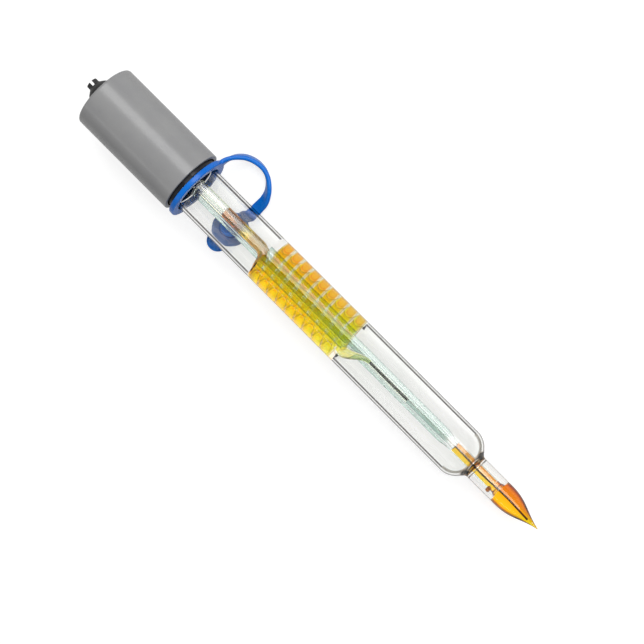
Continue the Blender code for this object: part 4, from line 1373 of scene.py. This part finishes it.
@dataclass
class SensingHalf:
    """Stem, spear bulb, their solution and the platinum wire.

    Attributes:
        tube: The tube round it, whose neck it hangs in.
        rises: How far the meniscus rises, as the glass shows it and as the solution does.
        film: Gap that keeps the solution's surface off the glass's at its level.
        seams: How far the spear's base is off the neck's end, and the stem's end off the throat's.
        funnel: Shares of the spear's outline at which the solution widens below the throat.
        filled: Shares of the spear's outline between which the solution follows it.
        wire_sway: How far the wire sways to both sides.
    """

    tube: GlassTube
    stem_radius: float = 0.0018
    lower_radius: float = 0.0014
    bore: float = 0.00078
    top: float = 0.0115
    taper: tuple[float, float] = (-0.0812, 0.0030)
    level: float = -0.0853
    bulb_radius: float = 0.00287
    bulb_length: float = 0.01235
    wall: float = 0.00035
    neck_length: float = 0.0018
    throat_gap: float = 0.0003
    seams: tuple[float, float] = (0.00006, 0.0001)
    rises: tuple[float, float] = (0.00022, 0.00016)
    film: float = 0.00004
    swell: float = 0.0032
    waist: float = 0.0009
    handles: tuple[float, float] = (0.0062, 0.0073)
    funnel: tuple[float, ...] = (0.10, 0.16, 0.22)
    filled: tuple[float, float] = (0.22, 0.96)
    wire_radius: float = 0.00015
    wire_sway: tuple[float, float] = (0.00009, 0.00006)
    wire_top: float = 0.0157
    wire_end: float = -0.1078
    sides: int = 96

    @property
    def base(self) -> float:
        """Height of the spear's base."""
        return self.tube.neck_end - self.seams[0]

    @property
    def stem_end(self) -> float:
        """Height at which the stem passes into the bulb's throat."""
        return self.base + self.neck_length + self.seams[1]

    def stem(self) -> bpy.types.Mesh:
        """The stem: open above its solution, and solid glass where the solution wets its bore."""
        start, length = self.taper
        outline: Outline = [(0.0, self.level), (self.bore * 0.6, self.level + self.film),
                            (self.bore, self.level + self.rises[0]), (self.bore, self.top),
                            (self.stem_radius, self.top)]
        for share in shares(12):
            outline.append((step_between(self.stem_radius, self.lower_radius, share), start - length * share))
        outline += [(self.lower_radius, self.stem_end), (0.0, self.stem_end)]
        return to_mesh(revolve(outline, self.sides))

    def spear_point(self, share: float, inset: float) -> tuple[float, float]:
        """A point of the spear's outline, from its base at 0 to its tip at 1, inside a wall."""
        rest = 1 - share
        along = (3 * rest ** 2 * share * self.handles[0] + 3 * rest * share ** 2 * self.handles[1]
                 + share ** 3 * self.bulb_length)
        radius = (rest ** 3 * self.bulb_radius + 3 * rest ** 2 * share * self.swell
                  + 3 * rest * share ** 2 * self.waist)
        return radius - inset, self.base - along

    def spear(self) -> bpy.types.Mesh:
        """The bulb: throat, shoulder and spear, solid where the solution wets it."""
        throat = min(self.lower_radius * 1.25, self.tube.neck_bore - self.throat_gap)
        collar = self.base + self.neck_length
        outline: Outline = [(0.0, collar), (self.lower_radius, collar)]
        for share in shares(8):
            outline.append((step_between(self.lower_radius, throat, share),
                            self.base + self.neck_length * (0.6 - 0.5 * share)))
        outline.append((throat, self.base))
        outline += [self.spear_point(share, 0.0) for share in shares(40)[:-1]]
        outline.append((0.0, self.base - self.bulb_length))
        return to_mesh(revolve(outline, self.sides))

    def solution(self) -> bpy.types.Mesh:
        """The solution from its level in the stem to the spear's point, hollowed for the wire."""
        funnel_top = self.base + self.neck_length * 0.55
        outline: Outline = [(0.0, self.level - self.film), (self.bore * 0.6, self.level),
                            (self.bore, self.level + self.rises[1]), (self.bore, funnel_top)]
        funnel = [Vector((self.bore, funnel_top, 0)),
                  Vector((self.bore * 1.3, self.base + self.neck_length * 0.2, 0))]
        funnel += [Vector((*self.spear_point(share, self.wall), 0)) for share in self.funnel]
        outline += [(point.x, point.y) for point in smooth_path(funnel, 4)[1:-1]]
        first, last = self.filled
        for share in shares(29):
            radius, height = self.spear_point(first + (last - first) * share, 0.0)
            outline.append((radius - self.wall * min(1.0, radius / (3 * self.wall)), height))
        outline.append((0.0, outline[-1][1] - 0.0001))
        return to_mesh(revolve(outline, self.sides))

    def wire(self) -> bpy.types.Mesh:
        """The platinum wire, not quite straight inside the bulb's stem."""
        heights = [self.wire_top + (self.wire_end - self.wire_top) * share for share in shares(60)]
        sway, other = self.wire_sway
        path = [Vector((sway * math.sin(height * 420), other * math.sin(height * 310 + 1.0), height))
                for height in heights]
        return to_mesh(skin(tube_rings(path, [self.wire_radius] * len(path), 16)))

    def build(self, shop: Workshop) -> None:
        """Make and dress the pieces."""
        shop.place("stem_glass", self.stem(), STEM_GLASS, Slot.GREEN_GLASS, "stem_tube")
        shop.place("spear_glass", self.spear(), SPEAR_GLASS, Slot.CLEAR_GLASS, "spear_bulb")
        shop.place("bulb_fill", self.solution(), BULB_SOLUTION, Slot.YELLOW_SOLUTION, "bulb_solution",
                   sharp=180.0)
        shop.place("sensing_wire", self.wire(), WIRE_PLATINUM, Slot.PLATINUM, "platinum_wire")


@dataclass
class ReferenceHalf:
    """Reference tube with its coil, the solution in it, the wick and the wire.

    Attributes:
        tube: The tube round it, which says where filling solution wets the coil.
        wet_growth: How much wider than its bore the coil's solution is drawn.
        tail: The coil's drawn-out end: angle, share of the way in to the capillary's place, drop below
            the coil, and share of the narrowing.
    """

    tube: GlassTube
    angle: float = 284.0
    straight_radius: float = 0.0033
    coil_radius: float = 0.0037
    tube_radius: float = 0.00135
    bore: float = 0.00070
    wet_growth: float = 1.35
    top: float = 0.0115
    level: float = -0.0110
    bend_drop: float = 0.0222
    bend_radius: float = 0.0030
    pitch: float = 0.00288
    turns: int = 9
    tail: tuple[tuple[float, float, float, float], ...] = (
        (228.0, 0.095, 0.00055, 0.0), (222.0, 0.171, 0.00130, 0.040), (225.6, 0.267, 0.00220, 0.145),
        (234.0, 0.476, 0.00325, 0.385), (246.0, 0.714, 0.00445, 0.640), (258.0, 0.905, 0.00575, 0.855),
        (266.0, 1.0, 0.00705, 1.0))
    capillary_place: float = 0.00265
    capillary_radius: float = 0.00055
    capillary_bore: float = 0.00030
    capillary_lead: float = 0.0014
    wick_step: float = 0.00035
    wick_length: float = 0.0120
    wick_radius: float = 0.00021
    wire_radius: float = 0.00015
    wire_top: float = 0.0157
    wire_dip: float = 0.0030
    steps_per_turn: int = 64
    sides: int = 28

    def on_drum(self, along: float, height: float, radius: float) -> Vector:
        """The point at a length round the coil's drum, from the straight tube's place."""
        return radial(self.angle - math.degrees(along / self.coil_radius), radius, height)

    def course(self) -> Course:
        """The glass's middle line, with the outer radius and the bore's radius at each point."""
        slope = math.atan2(self.pitch, math.tau * self.coil_radius)
        turn = math.pi / 2 - slope
        course = [(self.on_drum(0.0, height, self.straight_radius), self.tube_radius, self.bore)
                  for height in (self.top, self.level + 0.0002, self.level, self.level - 0.0002,
                                 -self.bend_drop + 0.0006)]
        for share in shares(24):
            bend = turn * share
            along = self.bend_radius * (1 - math.cos(bend))
            height = -self.bend_drop - self.bend_radius * math.sin(bend)
            radius = step_between(self.straight_radius, self.coil_radius, share)
            course.append((self.on_drum(along, height, radius), self.tube_radius, self.bore))
        start_along = self.bend_radius * (1 - math.cos(turn))
        start_height = -self.bend_drop - self.bend_radius * math.sin(turn)

        def helix(turns: float) -> Vector:
            """The point a number of turns down the coil."""
            return self.on_drum(start_along + math.tau * self.coil_radius * turns,
                                start_height - self.pitch * turns, self.coil_radius)

        course += [(helix(self.turns * share), self.tube_radius, self.bore)
                   for share in shares(self.turns * self.steps_per_turn)[1:]]
        end = start_height - self.pitch * self.turns
        stations = [helix(self.turns - 1 / 14), helix(self.turns)]
        drawn = [0.0, 0.0]
        for angle, inward, drop, share in self.tail:
            radius = self.coil_radius + (self.capillary_place - self.coil_radius) * inward
            stations.append(radial(angle, radius, end - drop))
            drawn.append(share)
        stations.append(stations[-1] - AXIS * self.capillary_lead)
        drawn.append(1.0)
        steps = 8
        narrowing = smooth_path([Vector((share, 0, 0)) for share in drawn], steps)
        for point, narrowed in list(zip(smooth_path(stations, steps), narrowing))[steps + 1:-steps]:
            outer = self.tube_radius + (self.capillary_radius - self.tube_radius) * narrowed.x
            bore = self.bore + (self.capillary_bore - self.bore) * narrowed.x
            course.append((point, outer, bore))
        wick_top = end - self.tail[-1][2] - self.wick_step
        for height in (wick_top, wick_top - self.wick_length):
            course.append((radial(self.tail[-1][0], self.capillary_place, height), self.capillary_radius,
                           self.capillary_bore))
        return course

    def glass(self, course: Course) -> bpy.types.Mesh:
        """The glass: open above the solution's level, and solid where the solution wets its bore."""
        path = [point for point, _, _ in course]
        rings = tube_rings(path, [outer for _, outer, _ in course], self.sides)
        bores = tube_rings(path, [bore for _, _, bore in course], self.sides)
        return to_mesh(skin(rings, bores[:3]))

    def solution(self, course: Course) -> bpy.types.Mesh:
        """The solution from its level to the wick.

        It is drawn wider than the bore, because the wetted glass round it doesn't make it look wide.
        """
        wet = course[3:-1]
        path = [point for point, _, _ in wet]
        radii = [bore * (self.wet_growth if outer == self.tube_radius else 1.0) for _, outer, bore in wet]
        return to_mesh(skin(tube_rings(path, radii, self.sides)))

    def wick(self, course: Course) -> bpy.types.Mesh:
        """The wick, a little uneven as a braid is."""
        first, last = course[-2][0], course[-1][0]
        path = [first.lerp(last, share) for share in shares(60)]
        radii = [self.wick_radius * (1 + 0.08 * math.sin(step * 1.9)) for step in range(61)]
        return to_mesh(skin(tube_rings(path, radii, 16)))

    def wire(self) -> bpy.types.Mesh:
        """The reference wire, down to its dip in the solution."""
        low = self.level - self.wire_dip
        heights = [self.wire_top + (low - self.wire_top) * share for share in shares(20)]
        path = [radial(self.angle, self.straight_radius + 0.0001 * math.sin(step), height)
                for step, height in enumerate(heights)]
        path = [path[0]] + smooth_path(path, 2)[2:]
        return to_mesh(skin(tube_rings(path, [self.wire_radius] * len(path), 16)))

    def build(self, shop: Workshop) -> None:
        """Make and dress the pieces."""
        course = self.course()
        shop.place("coil_glass", self.glass(course), COIL_GLASS, Slot.CLEAR_GLASS, "reference_coil",
                   patches=[(WETTED_COIL, self.tube.is_wetted)])
        shop.place("coil_fill", self.solution(course), COIL_SOLUTION, Slot.ORANGE_SOLUTION,
                   "reference_solution", sharp=60.0)
        shop.place("wick_fibre", self.wick(course), WICK_FIBRE, Slot.DARK_FIBRE, "inner_junction")
        shop.place("reference_lead", self.wire(), WIRE_PLATINUM, Slot.PLATINUM, "reference_wire")


@dataclass
class HiddenFittings:
    """Stopper, potting and splices under the cap, which keep their CAD shapes."""

    finishes: tuple[tuple[str, Finish], ...] = (
        ("tube_stopper", STOPPER_RUBBER), ("potting", POTTING_EPOXY),
        ("signal_splice", SPLICE_COPPER), ("reference_splice", SPLICE_COPPER))

    def build(self, shop: Workshop) -> None:
        """Dress the nodes."""
        for node, finish in self.finishes:
            shop.keep(node, finish)


@dataclass(frozen=True)
class Softbox:
    """A softbox that runs along the electrode.

    Attributes:
        name: Its name.
        direction: Where it hangs, seen from the electrode's middle.
        size: Its length along the electrode and its width.
        radiance: How bright its face is.
        distance: How far away it hangs.

    The electrode lies along the table's first axis, and so does each softbox.
    """

    name: str
    direction: tuple[float, float, float]
    size: tuple[float, float]
    radiance: float
    distance: float = 0.60

    def hang(self) -> None:
        """Add the lamp to the scene."""
        data = bpy.data.lights.new(self.name, 'AREA')
        data.shape = 'RECTANGLE'
        data.size, data.size_y = self.size
        data.energy = self.radiance * math.pi * self.size[0] * self.size[1]
        lamp = bpy.data.objects.new(self.name, data)
        towards = Vector(self.direction).normalized()
        own_y = towards.cross(Vector((1, 0, 0))).normalized()
        own_x = own_y.cross(towards).normalized()
        lamp.matrix_world = frame_matrix(towards * self.distance, own_x, own_y, towards)
        bpy.context.scene.collection.objects.link(lamp)


@dataclass
class Studio:
    """Table, softboxes and camera.

    Attributes:
        distance: From the camera to the electrode.
        lean: How far the camera leans towards the cap, in degrees.
        turn: Roll of the picture, in degrees.
        focal_px: Focal length in pixels of the photograph.
        image_px: Side of the photograph in pixels.
        sensor_mm: Width of the camera's sensor.
        clip_start: Nearest distance that the camera sees.
        aim_height: Height on the axis that the camera aims at.
        aim_shift_px: How far beside the axis it aims, in pixels.
        world_level: Level of the plain light all round.
        mirrored_share: Share of the table's white that mirrored rays see.
        bounces: How often a ray may cross or meet a surface.
        table_reach: Half the table's side.
        table_colours: The table as it lights the electrode, and as it is seen.
        glow: White added to the table that is seen.
        lamps: The softboxes.
    """

    distance: float = 0.450
    lean: float = 7.0
    turn: float = 45.05
    focal_px: float = 1991.0
    image_px: int = 644
    sensor_mm: float = 36.0
    clip_start: float = 0.01
    aim_height: float = -0.0441
    aim_shift_px: float = 6.1
    world_level: float = 0.32
    mirrored_share: float = 0.5
    bounces: int = 32
    table_reach: float = 3.0
    table_colours: tuple[str, str] = ("#ACACAC", "#ABABAB")
    glow: float = 0.78
    lamps: tuple[Softbox, ...] = (
        Softbox("key_softbox", (-0.017, -0.679, 0.734), (1.1, 0.31), 3.8),
        Softbox("strip_softbox", (-0.018, 0.709, 0.705), (1.0, 0.05), 2.0))

    def camera(self, frame: Matrix) -> None:
        """Set the camera where the photograph was taken from.

        Args:
            frame: The electrode's frame.
        """
        own_x, own_y, own_z = frame.to_3x3().transposed()
        lean, roll = math.radians(self.lean), math.radians(self.turn)
        look = own_y * math.cos(lean) + own_z * math.sin(lean)
        tipwards = own_y * math.sin(lean) - own_z * math.cos(lean)
        right = tipwards * math.cos(roll) + own_x * math.sin(roll)
        down = tipwards * math.sin(roll) - own_x * math.cos(roll)
        pixel = self.distance / self.focal_px
        aim = frame @ (AXIS * self.aim_height) - own_x * (self.aim_shift_px * pixel)
        place = aim - look * self.distance
        data = bpy.data.cameras.new("camera")
        data.sensor_width = self.sensor_mm
        data.lens = self.focal_px / self.image_px * self.sensor_mm
        data.clip_start = self.clip_start
        camera = bpy.data.objects.new("camera", data)
        camera.matrix_world = frame_matrix(place, right, -down, -look)
        bpy.context.scene.collection.objects.link(camera)
        bpy.context.scene.camera = camera

    def seen(self, tree: bpy.types.NodeTree, mirrored_share: float) -> bpy.types.NodeSocket:
        """How much of the white a ray sees: all of it straight or through glass, a share of it mirrored."""
        path = add_node(tree, "ShaderNodeLightPath")
        glossy = add_node(tree, "ShaderNodeMath", {1: mirrored_share},
                          {0: path.outputs["Is Glossy Ray"]}, operation='MULTIPLY')
        mirrored = add_node(tree, "ShaderNodeMath", links={0: path.outputs["Is Camera Ray"],
                                                           1: glossy.outputs[0]}, operation='MAXIMUM')
        through = add_node(tree, "ShaderNodeMath", links={0: mirrored.outputs[0],
                                                          1: path.outputs["Is Transmission Ray"]},
                           operation='MAXIMUM')
        return through.outputs[0]

    def table(self) -> None:
        """A plain pale table that reads white and keeps the object's shadow."""
        mesh = bpy.data.meshes.new("table")
        reach = self.table_reach
        mesh.from_pydata([(-reach, -reach, 0), (reach, -reach, 0), (reach, reach, 0), (-reach, reach, 0)], [],
                         [(0, 1, 2, 3)])
        table = link_object("table", mesh)
        material = bpy.data.materials.new("painted_white_table")
        material.use_nodes = True
        tree = material.node_tree
        tree.nodes.clear()
        plain, shown = (add_node(tree, "ShaderNodeBsdfDiffuse", {"Color": linear(colour)})
                        for colour in self.table_colours)
        glow = add_node(tree, "ShaderNodeEmission", {"Color": linear("#FFFFFF"), "Strength": self.glow})
        bright = add_node(tree, "ShaderNodeAddShader", links={0: shown.outputs[0], 1: glow.outputs[0]})
        seen = self.seen(tree, self.mirrored_share)
        surface = add_node(tree, "ShaderNodeMixShader", links={0: seen, 1: plain.outputs[0],
                                                               2: bright.outputs[0]})
        add_node(tree, "ShaderNodeOutputMaterial", links={"Surface": surface.outputs[0]})
        mesh.materials.append(material)

    def world(self) -> None:
        """A plain pale level all round, which shows white, also through glass."""
        world = bpy.data.worlds.new("studio")
        bpy.context.scene.world = world
        world.use_nodes = True
        tree = world.node_tree
        level = add_node(tree, "ShaderNodeMapRange", {"To Min": self.world_level, "To Max": 1.0},
                         {"Value": self.seen(tree, 0.0)})
        sky = tree.nodes["Background"]
        sky.inputs["Color"].default_value = linear("#FFFFFF")
        tree.links.new(level.outputs["Result"], sky.inputs["Strength"])

    def build(self, frame: Matrix) -> None:
        """Set up the studio.

        Light crosses up to eight glass walls and their solutions here, so more bounces than usual are kept.
        """
        self.camera(frame)
        cycles = bpy.context.scene.cycles
        cycles.max_bounces = cycles.transmission_bounces = self.bounces
        self.table()
        self.world()
        for lamp in self.lamps:
            lamp.hang()


def main() -> None:
    """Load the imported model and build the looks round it."""
    logging.basicConfig(level=logging.INFO, format="%(name)s: %(message)s")
    for thing in list(bpy.data.objects):
        bpy.data.objects.remove(thing, do_unlink=True)
    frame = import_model()
    matrix = ElectrodeFrame().matrix(frame["record"], frame["joints"])
    shop = Workshop(matrix, frame["nodes"])
    tube = GlassTube()
    Studio().build(matrix)
    assemblies: list[Callable[[Workshop], None]] = [
        Cap().build, FillCover().build, tube.build, SensingHalf(tube).build, ReferenceHalf(tube).build,
        HiddenFittings().build]
    for build in assemblies:
        build(shop)
    bpy.context.scene.view_settings.view_transform = 'Standard'


if __name__ == "__main__":
    main()
